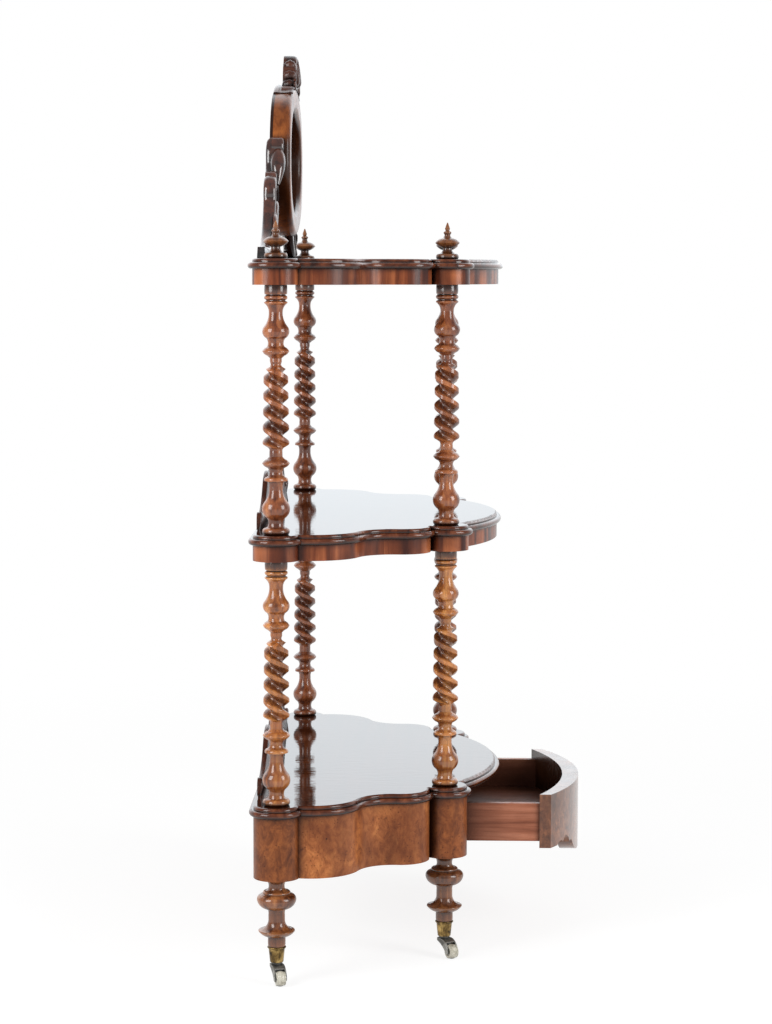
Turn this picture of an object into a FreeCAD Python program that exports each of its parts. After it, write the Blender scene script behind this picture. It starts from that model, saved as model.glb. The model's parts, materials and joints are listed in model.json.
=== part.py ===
import FreeCAD, Part
import math
import os
import re
import Sketcher

# A Victorian walnut whatnot: three serpentine shelves on barley-twist columns, a bow-fronted drawer in the
# deep bottom frame, an oval mirror on the top shelf and a castor under each foot.
# Millimetres. +X is the width, -Y the front, +Z up; the origin is on the floor, under the middle of the box.

SIZES = {
    # plan: the corner columns, and the arcs of the outline of apron and frieze on the right-hand side
    "rear_column_x": 414,
    "front_column_x": 243,
    "column_depth": 268,
    "corner_radius": 37,
    "swell_x": 344.5,
    "swell_depth": 52,
    "swell_radius": 80,
    "hollow_radius": 60,
    "shoulder_x": 278,
    "shoulder_back": 73,
    "shoulder_radius": 48,
    "bow_radius": 404,
    "bow_cover": 5.371,
    # heights of the stack, from the floor up
    "castor_height": 60,
    "foot_height": 112,
    "apron_height": 101,
    "board_thickness": 16,
    "column_length": 392,
    "frieze_height": 25,
    # shelf boards
    "board_overhang": 7,
    "nose_height": 10,
    "nose_round": 4.5,
    "step_inset": 7,
    "step_round": 4,
    # walls under the boards
    "wall_thickness": 18,
    "wall_start": 20,
    "wall_end_back": 53,
    "wall_front_inset": 18,
    # turned joints
    "spigot_radius": 8,
    "spigot_length": 12,
    "spigot_clearance": 0.1,
    "spigot_end_room": 0.5,
    # columns: the lower turning, its heights measured up from the column's foot
    "column_base_radius": 19.2,
    "column_base_bead": 3,
    "base_bead_height": 10.2,
    "column_waist_radius": 14.2,
    "column_waist_hollow": 2.6,
    "vase_foot_height": 26.5,
    "vase_foot_radius": 16.3,
    "vase_bulge": 4.2,
    "vase_shoulder_height": 50,
    "vase_shoulder_radius": 19.3,
    "vase_neck_height": 70,
    "vase_neck_radius": 10.9,
    "plate_height": 83.4,
    "plate_thickness": 7,
    "plate_radius": 18.4,
    "plate_bead": 1.4,
    "lower_ring_height": 112.3,
    "lower_ring_radius": 21,
    # columns: the upper turning, its heights measured down from the column's head
    "upper_ring_drop": 103.7,
    "upper_ring_radius": 20.4,
    "bulb_foot_drop": 83.5,
    "bulb_foot_radius": 16.5,
    "bulb_bulge": 4,
    "bulb_shoulder_drop": 64.5,
    "bulb_shoulder_radius": 18,
    "bulb_neck_drop": 44,
    "bulb_neck_radius": 10.9,
    "cap_ring_drop": 30,
    "cap_ring_radius": 17.8,
    "cap_bead_drop": 20,
    "cap_bead_radius": 16.5,
    "cap_bead": 1.8,
    "cap_groove_radius": 15.2,
    "cap_height": 14.8,
    "cap_radius": 17.6,
    # columns: the rings beside the twist
    "ring_half_height": 6.8,
    "ring_root_radius": 14,
    "ring_edge": 2.6,
    "ring_edge_bead": 0.6,
    "ring_flank_bulge": 0.8,
    "ring_hollow": 4.4,
    # barley twist
    "twist_neck_radius": 10.4,
    "twist_radius": 21.4,
    "twist_taper": 2,
    "twist_pitch": 51,
    "twist_land": 1.2,
    "twist_valley_radius": 10.4,
    "twist_hollow_half_height": 4.6,
    "twist_hollow_depth": 2.65,
    "twist_shoulder_radius": 18.9,
    "twist_shoulder_half_height": 8.2,
    "twist_round": 0.7,
    "twist_clearance": 0.8,
    # finials
    "finial_base_radius": 17,
    "finial_base_bead": 1.8,
    "finial_neck_radius": 7.4,
    "finial_disc_radius": 20,
    "finial_disc_height": 26.5,
    "finial_stem_radius": 4.6,
    "finial_bead_radius": 5.5,
    "finial_tip_radius": 0.8,
    "finial_height": 59,
    # feet
    "foot_tip_radius": 13.5,
    "foot_tenon_radius": 9.5,
    "foot_tenon_length": 17,
    "foot_collar_radius": 14.2,
    "foot_collar_height": 15.5,
    "foot_dish_radius": 28.6,
    "foot_dish_height": 24,
    "foot_waist_radius": 13.3,
    "foot_waist_height": 43,
    "foot_disc_foot_radius": 15,
    "foot_disc_radius": 31.5,
    "foot_disc_height": 75.5,
    "foot_ledge_radius": 25,
    "foot_ledge_height": 84.5,
    "foot_neck_radius": 12.8,
    "foot_neck_drop": 15,
    "foot_top_radius": 19,
    # castors
    "wheel_diameter": 24.5,
    "wheel_width": 15,
    "wheel_crown": 1.6,
    "wheel_hub_radius": 6,
    "wheel_hub_recess": 1.2,
    "wheel_side_gap": 0.4,
    "wheel_rim_gap": 2.2,
    "castor_trail": 24,
    "axle_radius": 2,
    "axle_clearance": 0.05,
    "cheek_thickness": 2.2,
    "fork_boss_radius": 4.6,
    "fork_crown_height": 5,
    "fork_shoulder_rise": 4.5,
    "fork_plate_radius": 9,
    "fork_plate_thickness": 3.5,
    "socket_floor_height": 34.5,
    "socket_floor_thickness": 3.5,
    "socket_tip_radius": 10.8,
    "socket_rim_height": 4,
    "socket_rim_proud": 1,
    "socket_clearance": 0.1,
    "swivel_pin_radius": 3,
    "swivel_gap": 0.3,
    "rear_left_turn": 197,
    "front_left_turn": 211,
    "rear_right_turn": 205,
    "front_right_turn": 320,
    # drawer
    "drawer_open": 145,
    "drawer_front_thickness": 28,
    "drawer_front_end_depth": 19,
    "drawer_end_gap": 2,
    "drawer_top_gap": 8,
    "drawer_foot_rise": 2,
    "drawer_foot_width": 22,
    "scallop_width": 17,
    "scallop_rise": 5.5,
    "cusp_width": 6,
    "cusp_level": 1,
    "arch_width": 14,
    "arch_rise": 10,
    "arch_fall_width": 20,
    "lobe_width": 14,
    "lobe_level": -6,
    "lobe_rise": 2,
    "pendant_fall_width": 52,
    "pendant_drop": 32,
    "pendant_sag": 2,
    "drawer_side_thickness": 12,
    "drawer_side_inset": 4,
    "drawer_side_height": 64,
    "drawer_side_rise": 13,
    "drawer_back_depth": 30,
    "drawer_back_thickness": 10,
    "drawer_back_lowering": 5,
    "drawer_bottom_rise": 7,
    "drawer_bottom_thickness": 6,
    "drawer_gap": 0.3,
    "runner_height": 12,
    "runner_inner_inset": 20,
    # mirror, measured above the top shelf
    "mirror_half_width": 186,
    "mirror_half_height": 126,
    "mirror_end_radius": 110,
    "mirror_centre_height": 166,
    "mirror_band": 38,
    "mirror_depth": 34,
    "mirror_setback": 9,
    "mirror_round": 9,
    "mirror_lip": 6,
    "rebate_depth": 14,
    "glass_thickness": 4,
    "glass_clearance": 0.3,
    "backboard_thickness": 6,
    "crest_height": 346,
    "crest_half_width": 92,
    "crest_root_height": 240,
    "crest_shoulder_height": 268,
    "crest_step_x": 46,
    "crest_step_height": 298,
    "crest_cap_x": 25,
    "crest_cap_height": 333,
    "crest_thickness": 23,
    "crest_setback": 11,
    "bracket_thickness": 21,
    "bracket_setback": 10,
    "bracket_outer_x": 392,
    "bracket_block_height": 18,
    "bracket_block_width": 40,
    "bracket_toe_width": 62,
    "bracket_waist_x": 256,
    "bracket_waist_height": 98,
    "bracket_ear_x": 228,
    "bracket_ear_height": 136,
    "bracket_hollow_x": 198,
    "bracket_hollow_height": 160,
    "bracket_top_x": 168,
    "bracket_top_height": 204,
    "bracket_root_x": 160,
    "bracket_root_height": 96,
    # galleries
    "gallery_half_width": 345,
    "gallery_end_height": 17,
    "gallery_end_width": 26,
    "gallery_wing_x": 205,
    "gallery_wing_height": 66,
    "gallery_dip_x": 104,
    "gallery_dip_height": 70,
    "gallery_crest_x": 58,
    "gallery_crest_height": 78,
    "gallery_crest_rise": 15,
    "gallery_thickness": 9,
    "gallery_setback": 27,
}

doc = FreeCAD.newDocument("etagere")
sheet = doc.addObject("Spreadsheet::Sheet", "sizes")
for row, (alias, number) in enumerate(SIZES.items(), start=1):
    sheet.set(f"A{row}", alias)
    sheet.set(f"B{row}", str(number))
    sheet.setAlias(f"B{row}", alias)
doc.recompute()

NODES = {}

# Depths are measured forward from the rear columns' axes; ORIGIN is where that axis lies in Y.
# The bow passes a little in front of the front columns' axes, so that their corners cover its ends.
BOW_CENTRE_DEPTH = "(column_depth - sqrt((bow_radius - bow_cover)^2 - front_column_x^2))"
BOW_APEX = f"({BOW_CENTRE_DEPTH} + bow_radius)"
ORIGIN = f"({BOW_APEX} + drawer_open - corner_radius - board_overhang) / 2"
APRON_Z = "castor_height + foot_height"
BOTTOM_BOARD_Z = f"{APRON_Z} + apron_height"
LOWER_COLUMN_Z = f"{BOTTOM_BOARD_Z} + board_thickness"
MIDDLE_FRIEZE_Z = f"{LOWER_COLUMN_Z} + column_length"
MIDDLE_BOARD_Z = f"{MIDDLE_FRIEZE_Z} + frieze_height"
UPPER_COLUMN_Z = f"{MIDDLE_BOARD_Z} + board_thickness"
TOP_FRIEZE_Z = f"{UPPER_COLUMN_Z} + column_length"
TOP_BOARD_Z = f"{TOP_FRIEZE_Z} + frieze_height"
TOP_Z = f"{TOP_BOARD_Z} + board_thickness"
CORNERS = {
    "rear_left": ("-rear_column_x", "0"),
    "rear_right": ("rear_column_x", "0"),
    "front_left": ("-front_column_x", "column_depth"),
    "front_right": ("front_column_x", "column_depth"),
}


def size(expression):
    """The number that an expression of sheet values comes to."""
    return float(sheet.evalExpression(str(expression)))


def bind(target, prop, expression):
    """Ties a property to an expression of sheet values."""
    named = re.sub(r"[a-z]\w+", lambda m: f"sizes.{m[0]}" if m[0] in SIZES else m[0], str(expression))
    target.setExpression(prop, named)


def forward(depth):
    """The Y of a depth in front of the rear columns' axes."""
    return f"{ORIGIN} - ({depth})"


def place(target, x="0", y="0", z="0"):
    for axis, expression in zip("xyz", (x, y, z)):
        bind(target, f"Placement.Base.{axis}", expression)
    return target


def node(target, label):
    """Makes an object one of the part's pieces."""
    target.Label = label
    NODES[label] = target
    return target


# Sketch helpers


def origin_plane(body, role):
    return next(f for f in body.Origin.OriginFeatures if f.Role == role)


def body_sketch(body, name, role, height=None):
    sketch = body.newObject("Sketcher::SketchObject", name)
    sketch.AttachmentSupport = (origin_plane(body, role), [""])
    sketch.MapMode = "FlatFace"
    if height is not None:
        bind(sketch, "AttachmentOffset.Base.z", height)
    return sketch


class Edge:
    """One edge of a sketched outline: a line, or an arc given by its centre and radius."""

    def __init__(self, start, end, centre=None, clockwise=False, radius_text=None, centre_text=None):
        self.start = start
        self.end = end
        self.centre = centre
        self.clockwise = clockwise
        self.radius_text = radius_text
        self.centre_text = centre_text
        self.first, self.last = (2, 1) if centre and clockwise else (1, 2)

    def geometry(self):
        begin = FreeCAD.Vector(*self.start, 0)
        finish = FreeCAD.Vector(*self.end, 0)
        if self.centre is None:
            return Part.LineSegment(begin, finish)
        middle = FreeCAD.Vector(*self.centre, 0)
        angles = [math.atan2(p.y - middle.y, p.x - middle.x) for p in (begin, finish)]
        if self.clockwise:
            angles.reverse()
        circle = Part.Circle(middle, FreeCAD.Vector(0, 0, 1), (begin - middle).Length)
        return Part.ArcOfCircle(circle, *angles)

    def radius(self):
        return math.dist(self.start, self.centre)


class Rules:
    """Gathers a sketch's constraints, each with the expression that drives it."""

    def __init__(self):
        self.made = []
        self.texts = []

    def add(self, *arguments, text=None):
        self.made.append(Sketcher.Constraint(*arguments))
        self.texts.append(text)

    def pin(self, edge, point, axis, text):
        """Holds a point's distance from the sketch's origin along one axis."""
        if text == "0":
            self.add("PointOnObject", edge, point, -2 if axis == "X" else -1)
        else:
            self.add(f"Distance{axis}", -1, 1, edge, point, size(text), text=text)

    def apply(self, sketch):
        sketch.addConstraint(self.made)
        for index, text in enumerate(self.texts):
            if text is not None:
                bind(sketch, f"Constraints[{index}]", text)
        if sketch.solve() != 0:
            raise RuntimeError(f"{sketch.Name} doesn't solve")


def add_edges(sketch, edges, smooth=()):
    """Draws a closed chain of edges; the joints after the edges named in smooth are tangent."""
    rules = Rules()
    count = len(edges)
    base = sketch.GeometryCount
    sketch.addGeometry([edge.geometry() for edge in edges])
    for index, edge in enumerate(edges):
        following = (index + 1) % count
        kind = "Tangent" if index in smooth else "Coincident"
        rules.add(kind, base + index, edge.last, base + following, edges[following].first)
        if edge.centre is not None and edge.radius_text:
            rules.add("Radius", base + index, edge.radius(), text=edge.radius_text)
        if edge.centre_text:
            rules.pin(base + index, 3, "X", edge.centre_text[0])
            rules.pin(base + index, 3, "Y", edge.centre_text[1])
    return rules


def add_profile(sketch, corners):
    """Draws a closed outline from corners (x, y) or (x, y, bulge), all of them expressions.

    A bulge is the height of the arc from its corner to the next, to the right of the way there.
    """
    points = [(size(corner[0]), size(corner[1])) for corner in corners]
    edges = []
    for index, corner in enumerate(corners):
        start, end = points[index], points[(index + 1) % len(points)]
        bulge = size(corner[2]) if len(corner) > 2 else 0
        if not bulge:
            edges.append(Edge(start, end))
            continue
        chord = math.dist(start, end)
        across = ((end[1] - start[1]) / chord, (start[0] - end[0]) / chord)
        reach = bulge / 2 - chord**2 / (8 * bulge)
        centre = tuple((s + e) / 2 + reach * n for s, e, n in zip(start, end, across))
        following = corners[(index + 1) % len(corners)]
        run = f"(({following[0]}) - ({corner[0]}))^2 + (({following[1]}) - ({corner[1]}))^2"
        text = f"abs(({run}) / (8 * ({corner[2]})) + ({corner[2]}) / 2)"
        edges.append(Edge(start, end, centre, bulge < 0, text))
    base = sketch.GeometryCount
    rules = add_edges(sketch, edges)
    for index, (corner, edge) in enumerate(zip(corners, edges)):
        rules.pin(base + index, edge.first, "X", corner[0])
        rules.pin(base + index, edge.first, "Y", corner[1])
    rules.apply(sketch)


def mirrored(half):
    """A symmetric outline from its right half, given from the foot of the axis up to the axis again."""
    left = []
    for index in range(len(half) - 1, 0, -1):
        x, y = half[index][:2]
        bulge = half[index - 1][2:]
        left.append((f"-({x})" if x != "0" else "0", y, *bulge))
    return half[:-1] + left


# Plan outline of the shelves


def circles_meet(first, first_radius, second, second_radius, side):
    """Where two circles cross, to the right (1) or the left (-1) of the way from the first to the second."""
    gap = math.dist(first, second)
    along = (first_radius**2 - second_radius**2 + gap**2) / (2 * gap)
    across = side * math.sqrt(first_radius**2 - along**2)
    ux, uy = (second[0] - first[0]) / gap, (second[1] - first[1]) / gap
    return (first[0] + along * ux + across * uy, first[1] + along * uy - across * ux)


def toward(centre, radius, target):
    """The point of a circle that faces a target."""
    gap = math.dist(centre, target)
    return tuple(c + radius * (t - c) / gap for c, t in zip(centre, target))


def plan_circles(offset):
    """Centres and radii, as expressions, of the right-hand arcs of the plan outline moved out by offset."""
    return {
        "rear_corner": (("rear_column_x", ORIGIN), f"corner_radius + ({offset})"),
        "swell": (("swell_x", forward("swell_depth")), f"swell_radius + ({offset})"),
        "hollow": (None, f"hollow_radius - ({offset})"),
        "shoulder": (
            ("shoulder_x", forward("column_depth - shoulder_back")),
            f"shoulder_radius + ({offset})",
        ),
        "front_corner": (("front_column_x", forward("column_depth")), f"corner_radius + ({offset})"),
        "bow": (("0", forward(BOW_CENTRE_DEPTH)), f"bow_radius + ({offset})"),
    }


def hollow_centre():
    """The centre of the hollow between the swell and the shoulder of a side, which touches both."""
    swell = (size("swell_x"), size(forward("swell_depth")))
    shoulder = (size("shoulder_x"), size(forward("column_depth - shoulder_back")))
    reach = size("swell_radius + hollow_radius")
    return circles_meet(swell, reach, shoulder, size("shoulder_radius + hollow_radius"), -1)


def mirror_point(point):
    return (-point[0], point[1])


def mirror_edge(edge):
    """The same edge on the left side, run the other way."""
    centre = mirror_point(edge.centre) if edge.centre else None
    text = None
    if edge.centre_text:
        text = (f"-({edge.centre_text[0]})", edge.centre_text[1])
    ends = mirror_point(edge.end), mirror_point(edge.start)
    return Edge(*ends, centre, edge.clockwise, edge.radius_text, text)


def plan_arc(circle, start, end, clockwise=True):
    centre_text, radius_text = circle
    centre = (size(centre_text[0]), size(centre_text[1])) if centre_text else hollow_centre()
    return Edge(start, end, centre, clockwise, radius_text, centre_text)


def draw_plan(sketch, offset):
    """The serpentine outline: rounded corners, a swelling side on each hand and a bowed front."""
    circles = plan_circles(offset)
    spots = {name: (size(c[0][0]), size(c[0][1])) for name, c in circles.items() if c[0]}
    spots["hollow"] = hollow_centre()
    radii = {name: size(c[1]) for name, c in circles.items()}

    def crossing(first, second):
        return circles_meet(spots[first], radii[first], spots[second], radii[second], -1)

    rear = (spots["rear_corner"][0], spots["rear_corner"][1] + radii["rear_corner"])
    notch = crossing("rear_corner", "swell")
    swell_end = toward(spots["swell"], radii["swell"], spots["hollow"])
    hollow_end = toward(spots["shoulder"], radii["shoulder"], spots["hollow"])
    shoulder_end = crossing("shoulder", "front_corner")
    corner_end = crossing("front_corner", "bow")
    right = [
        plan_arc(circles["rear_corner"], rear, notch),
        plan_arc(circles["swell"], notch, swell_end),
        plan_arc(circles["hollow"], swell_end, hollow_end, clockwise=False),
        plan_arc(circles["shoulder"], hollow_end, shoulder_end),
        plan_arc(circles["front_corner"], shoulder_end, corner_end),
    ]
    bow = plan_arc(circles["bow"], corner_end, mirror_point(corner_end))
    left = [mirror_edge(edge) for edge in reversed(right)]
    edges = right + [bow] + left + [Edge(mirror_point(rear), rear)]
    rules = add_edges(sketch, edges, smooth=(1, 2, 7, 8))
    rules.pin(0, edges[0].first, "X", "rear_column_x")
    rules.pin(len(edges) - 1, 1, "X", "-rear_column_x")
    rules.apply(sketch)


def draw_wall_inside(sketch):
    """The space inside the walls: their inner faces, run on into the corner posts."""
    inset = "-wall_thickness"
    circles = plan_circles(inset)
    spots = {name: (size(c[0][0]), size(c[0][1])) for name, c in circles.items() if c[0]}
    spots["hollow"] = hollow_centre()
    radii = {name: size(c[1]) for name, c in circles.items()}

    def on_circle(name, level):
        x, y = spots[name]
        return (x + math.sqrt(radii[name] ** 2 - (level - y) ** 2), level)

    rear_y = f"{ORIGIN} + corner_radius - wall_thickness"
    swell_start = on_circle("swell", size(forward("wall_start")))
    swell_end = toward(spots["swell"], radii["swell"], spots["hollow"])
    hollow_end = toward(spots["shoulder"], radii["shoulder"], spots["hollow"])
    shoulder_end = on_circle("shoulder", size(forward("column_depth - wall_end_back")))
    bow_x = size("front_column_x - wall_front_inset")
    bow_start = (bow_x, spots["bow"][1] - math.sqrt(radii["bow"] ** 2 - bow_x**2))
    rear = (swell_start[0], size(rear_y))
    right = [
        Edge(rear, swell_start),
        plan_arc(circles["swell"], swell_start, swell_end),
        plan_arc(circles["hollow"], swell_end, hollow_end, clockwise=False),
        plan_arc(circles["shoulder"], hollow_end, shoulder_end),
        Edge(shoulder_end, bow_start),
    ]
    bow = plan_arc(circles["bow"], bow_start, mirror_point(bow_start))
    left = [mirror_edge(edge) for edge in reversed(right)]
    edges = right + [bow] + left + [Edge(mirror_point(rear), rear)]
    rules = add_edges(sketch, edges, smooth=(1, 2, 7, 8))
    for line in (0, 10):
        rules.add("Vertical", line)
    rules.add("Horizontal", 11)
    rules.pin(0, 1, "Y", rear_y)
    rules.pin(0, 2, "Y", forward("wall_start"))
    rules.pin(10, 1, "Y", forward("wall_start"))
    rules.pin(4, 1, "Y", forward("column_depth - wall_end_back"))
    rules.pin(6, 2, "Y", forward("column_depth - wall_end_back"))
    rules.pin(4, 2, "X", "front_column_x - wall_front_inset")
    rules.pin(6, 1, "X", "-(front_column_x - wall_front_inset)")
    rules.apply(sketch)


# Solid helpers


def pad(body, sketch, length, midplane=False, reverse=False):
    feature = body.newObject("PartDesign::Pad", f"{sketch.Name}_pad")
    feature.Profile = sketch
    feature.Midplane = midplane
    feature.Reversed = reverse
    bind(feature, "Length", length)
    doc.recompute()
    return feature


def pocket(body, sketch, length=None, midplane=False, reverse=False):
    """Cuts a sketch into the body, to a depth or right through, and checks that it removed something."""
    before = body.Shape.Volume
    feature = body.newObject("PartDesign::Pocket", f"{sketch.Name}_pocket")
    feature.Profile = sketch
    feature.Midplane = midplane
    feature.Reversed = reverse
    if length is None:
        feature.Type = "ThroughAll"
    else:
        bind(feature, "Length", length)
    doc.recompute()
    if body.Shape.Volume > before - 1e-3:
        raise RuntimeError(f"{sketch.Name} cut nothing")
    return feature


def fillet(body, radius, chosen):
    """Rounds the edges of the body that chosen picks."""
    tip = body.Tip
    names = [f"Edge{i}" for i, edge in enumerate(tip.Shape.Edges, start=1) if chosen(edge)]
    feature = body.newObject("PartDesign::Fillet", f"{tip.Name}_fillet")
    feature.Base = (tip, names)
    bind(feature, "Radius", radius)
    doc.recompute()
    return feature


def level_edges(level):
    """Picks the edges that lie flat at one height."""
    near = 1e-4
    return lambda edge: max(abs(edge.BoundBox.ZMin - level), abs(edge.BoundBox.ZMax - level)) < near


def turned_body(name, corners):
    """A piece turned about Z from the outline of its right half."""
    body = doc.addObject("PartDesign::Body", name)
    sketch = body_sketch(body, f"{name}_profile", "XZ_Plane")
    add_profile(sketch, corners)
    turn = body.newObject("PartDesign::Revolution", f"{name}_turning")
    turn.Profile = sketch
    turn.ReferenceAxis = (sketch, ["V_Axis"])
    turn.Angle = 360
    doc.recompute()
    return body


def copy_of(master, label, x, y, z, turn=None):
    """One of several like pieces, as a link to the piece that they are copies of."""
    link = doc.addObject("App::Link", label)
    link.LinkedObject = master
    if turn is not None:
        upright = FreeCAD.Vector(0, 0, 1)
        link.Placement = FreeCAD.Placement(FreeCAD.Vector(), FreeCAD.Rotation(upright, size(turn)))
        bind(link, "Placement.Rotation.Angle", turn)
    place(link, x, y, z)
    return node(link, label)


def box(name, x, y, z, length, width, height):
    target = doc.addObject("Part::Box", name)
    bind(target, "Length", length)
    bind(target, "Width", width)
    bind(target, "Height", height)
    return place(target, x, y, z)


def cylinder(name, x, y, z, radius, height):
    target = doc.addObject("Part::Cylinder", name)
    bind(target, "Radius", radius)
    bind(target, "Height", height)
    return place(target, x, y, z)


def combine(kind, name, base, tool):
    target = doc.addObject(f"Part::{kind}", name)
    target.Base = base
    target.Tool = tool
    return target


def fused(name, pieces):
    target = doc.addObject("Part::MultiFuse", name)
    target.Shapes = pieces
    return target


def group(name, pieces):
    target = doc.addObject("Part::Compound", name)
    target.Links = pieces
    return target


def extruded(name, sketch, height):
    target = doc.addObject("Part::Extrusion", name)
    target.Base = sketch
    target.DirMode = "Custom"
    target.Dir = FreeCAD.Vector(0, 0, 1)
    target.Solid = True
    bind(target, "LengthFwd", height)
    return target


# Shelf boards: a step with a rounded top over a bead-like nose, and a blind hole for each spigot above


def build_boards():
    body = doc.addObject("PartDesign::Body", "board")
    nose = body_sketch(body, "board_nose", "XY_Plane")
    draw_plan(nose, "board_overhang")
    pad(body, nose, "nose_height")
    step = body_sketch(body, "board_step", "XY_Plane", "nose_height")
    draw_plan(step, "board_overhang - step_inset")
    pad(body, step, "board_thickness - nose_height")
    fillet(body, "step_round", level_edges(size("board_thickness")))
    fillet(body, "nose_round", level_edges(0))
    inner = step.Shape
    at_nose = level_edges(size("nose_height"))

    def outer(edge):
        middle = edge.valueAt((edge.FirstParameter + edge.LastParameter) / 2)
        return at_nose(edge) and inner.distToShape(Part.Vertex(middle))[0] > size("step_inset") / 2

    fillet(body, "nose_round", outer)
    holes = body_sketch(body, "board_holes", "XY_Plane", "board_thickness")
    rules = Rules()
    for index, (x, depth) in enumerate(CORNERS.values()):
        centre = FreeCAD.Vector(size(x), size(forward(depth)), 0)
        radius = size("spigot_radius + spigot_clearance")
        holes.addGeometry(Part.Circle(centre, FreeCAD.Vector(0, 0, 1), radius))
        rules.add("Radius", index, radius, text="spigot_radius + spigot_clearance")
        rules.pin(index, 3, "X", x)
        rules.pin(index, 3, "Y", forward(depth))
    rules.apply(holes)
    pocket(body, holes, "spigot_length + spigot_end_room")
    for label, level in (
        ("bottom_board", BOTTOM_BOARD_Z),
        ("middle_board", MIDDLE_BOARD_Z),
        ("top_board", TOP_BOARD_Z),
    ):
        copy_of(body, label, "0", "0", level)


# Apron, friezes and corner posts


def corner_post(name, corner, height):
    """A round post with a spigot hole in its foot; a rear one is squared where the back meets it."""
    x, depth = CORNERS[corner]
    post = cylinder(f"{name}_round", x, forward(depth), "0", "corner_radius", height)
    if corner.startswith("rear"):
        left = "-rear_column_x" if corner == "rear_left" else "rear_column_x - corner_radius"
        square = box(f"{name}_square", left, ORIGIN, "0", "corner_radius", "corner_radius", height)
        post = fused(f"{name}_blank", [post, square])
    hole_depth = "spigot_length + spigot_end_room"
    hole = cylinder(f"{name}_hole", x, forward(depth), "0", "spigot_radius + spigot_clearance", hole_depth)
    return post, combine("Cut", name, post, hole)


def build_walls(name, height):
    """The curved walls between four posts, as one object of four pieces, and the posts."""
    outside = doc.addObject("Sketcher::SketchObject", f"{name}_outside")
    draw_plan(outside, "0")
    inside = doc.addObject("Sketcher::SketchObject", f"{name}_inside")
    draw_wall_inside(inside)
    slab = extruded(f"{name}_slab", outside, height)
    space = extruded(f"{name}_space", inside, height)
    ring = combine("Cut", f"{name}_ring", slab, space)
    blanks, posts = zip(*(corner_post(f"{name}_{corner}", corner, height) for corner in CORNERS))
    walls = combine("Cut", f"{name}_walls", ring, fused(f"{name}_posts", list(blanks)))
    return walls, dict(zip(CORNERS, posts))


def build_friezes():
    walls, posts = build_walls("frieze", "frieze_height")
    frieze = group("frieze", [walls, *posts.values()])
    copy_of(frieze, "middle_frieze", "0", "0", MIDDLE_FRIEZE_Z)
    copy_of(frieze, "top_frieze", "0", "0", TOP_FRIEZE_Z)


def build_apron():
    walls, posts = build_walls("apron", "apron_height")
    for corner, post in posts.items():
        copy_of(post, f"corner_post_{corner}", "0", "0", APRON_Z)
    reach = "rear_column_x + corner_radius - front_column_x"
    for side, left in (("left", "-rear_column_x - corner_radius"), ("right", "front_column_x")):
        front = forward("column_depth")
        room = box(f"apron_{side}_room", left, front, "0", reach, "column_depth", "apron_height")
        panel = combine("Common", f"apron_{side}_panel", walls, room)
        copy_of(panel, f"apron_{side}", "0", "0", APRON_Z)
    width = "2 * rear_column_x"
    room = box("apron_back_room", "-rear_column_x", ORIGIN, "0", width, "corner_radius", "apron_height")
    panel = combine("Common", "apron_back_panel", walls, room)
    copy_of(panel, "apron_back", "0", "0", APRON_Z)


# Turned columns, finials and feet


def spigot(level, upward):
    """The corners of a spigot on the end of a turned piece, from the axis out or back to it."""
    end = f"{level} + spigot_length" if upward else f"{level} - spigot_length"
    corners = [("0", end), ("spigot_radius", end), ("spigot_radius", level)]
    return list(reversed(corners)) if upward else corners


def ring(centre, radius):
    """A lens-shaped ring, thinner towards its edge."""
    root = "ring_root_radius"
    return [
        (root, f"{centre} - ring_half_height", "ring_flank_bulge"),
        (radius, f"{centre} - ring_edge / 2", "ring_edge_bead"),
        (radius, f"{centre} + ring_edge / 2", "ring_flank_bulge"),
        (root, f"{centre} + ring_half_height"),
    ]


def from_head(drop):
    """A height measured down from the column's head."""
    return f"(column_length - ({drop}))"


# The groove's half height, and where its middle starts and ends, so that it stays clear of both rings
STRAND = "(twist_pitch / 4 - twist_land / 2)"
TWIST_START = f"(lower_ring_height + ring_half_height + {STRAND} + 0.5)"
TWIST_END = from_head(f"upper_ring_drop + ring_half_height + {STRAND} + 0.5")


def twist_end():
    """The turning under the twist; its ends follow the groove at a small clearance, so that it runs out."""
    gap = "twist_clearance"
    foot = [
        ("twist_valley_radius", "0", "-twist_round"),
        ("twist_valley_radius + twist_hollow_depth", "twist_hollow_half_height"),
        ("twist_shoulder_radius", "twist_shoulder_half_height", "twist_round"),
        ("twist_radius", STRAND),
    ]
    rising = []
    falling = []
    for radius, up, *bulge in foot:
        inside = f"{radius} - {gap} / 4"
        rising.append((inside, f"{TWIST_START} + {up} + {gap}", *bulge))
        falling.insert(0, (f"{inside} - twist_taper", f"{TWIST_END} - {up} - {gap}"))
    falling[0] += ("twist_round",)
    falling[2] += ("-twist_round",)
    return rising + falling


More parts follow.
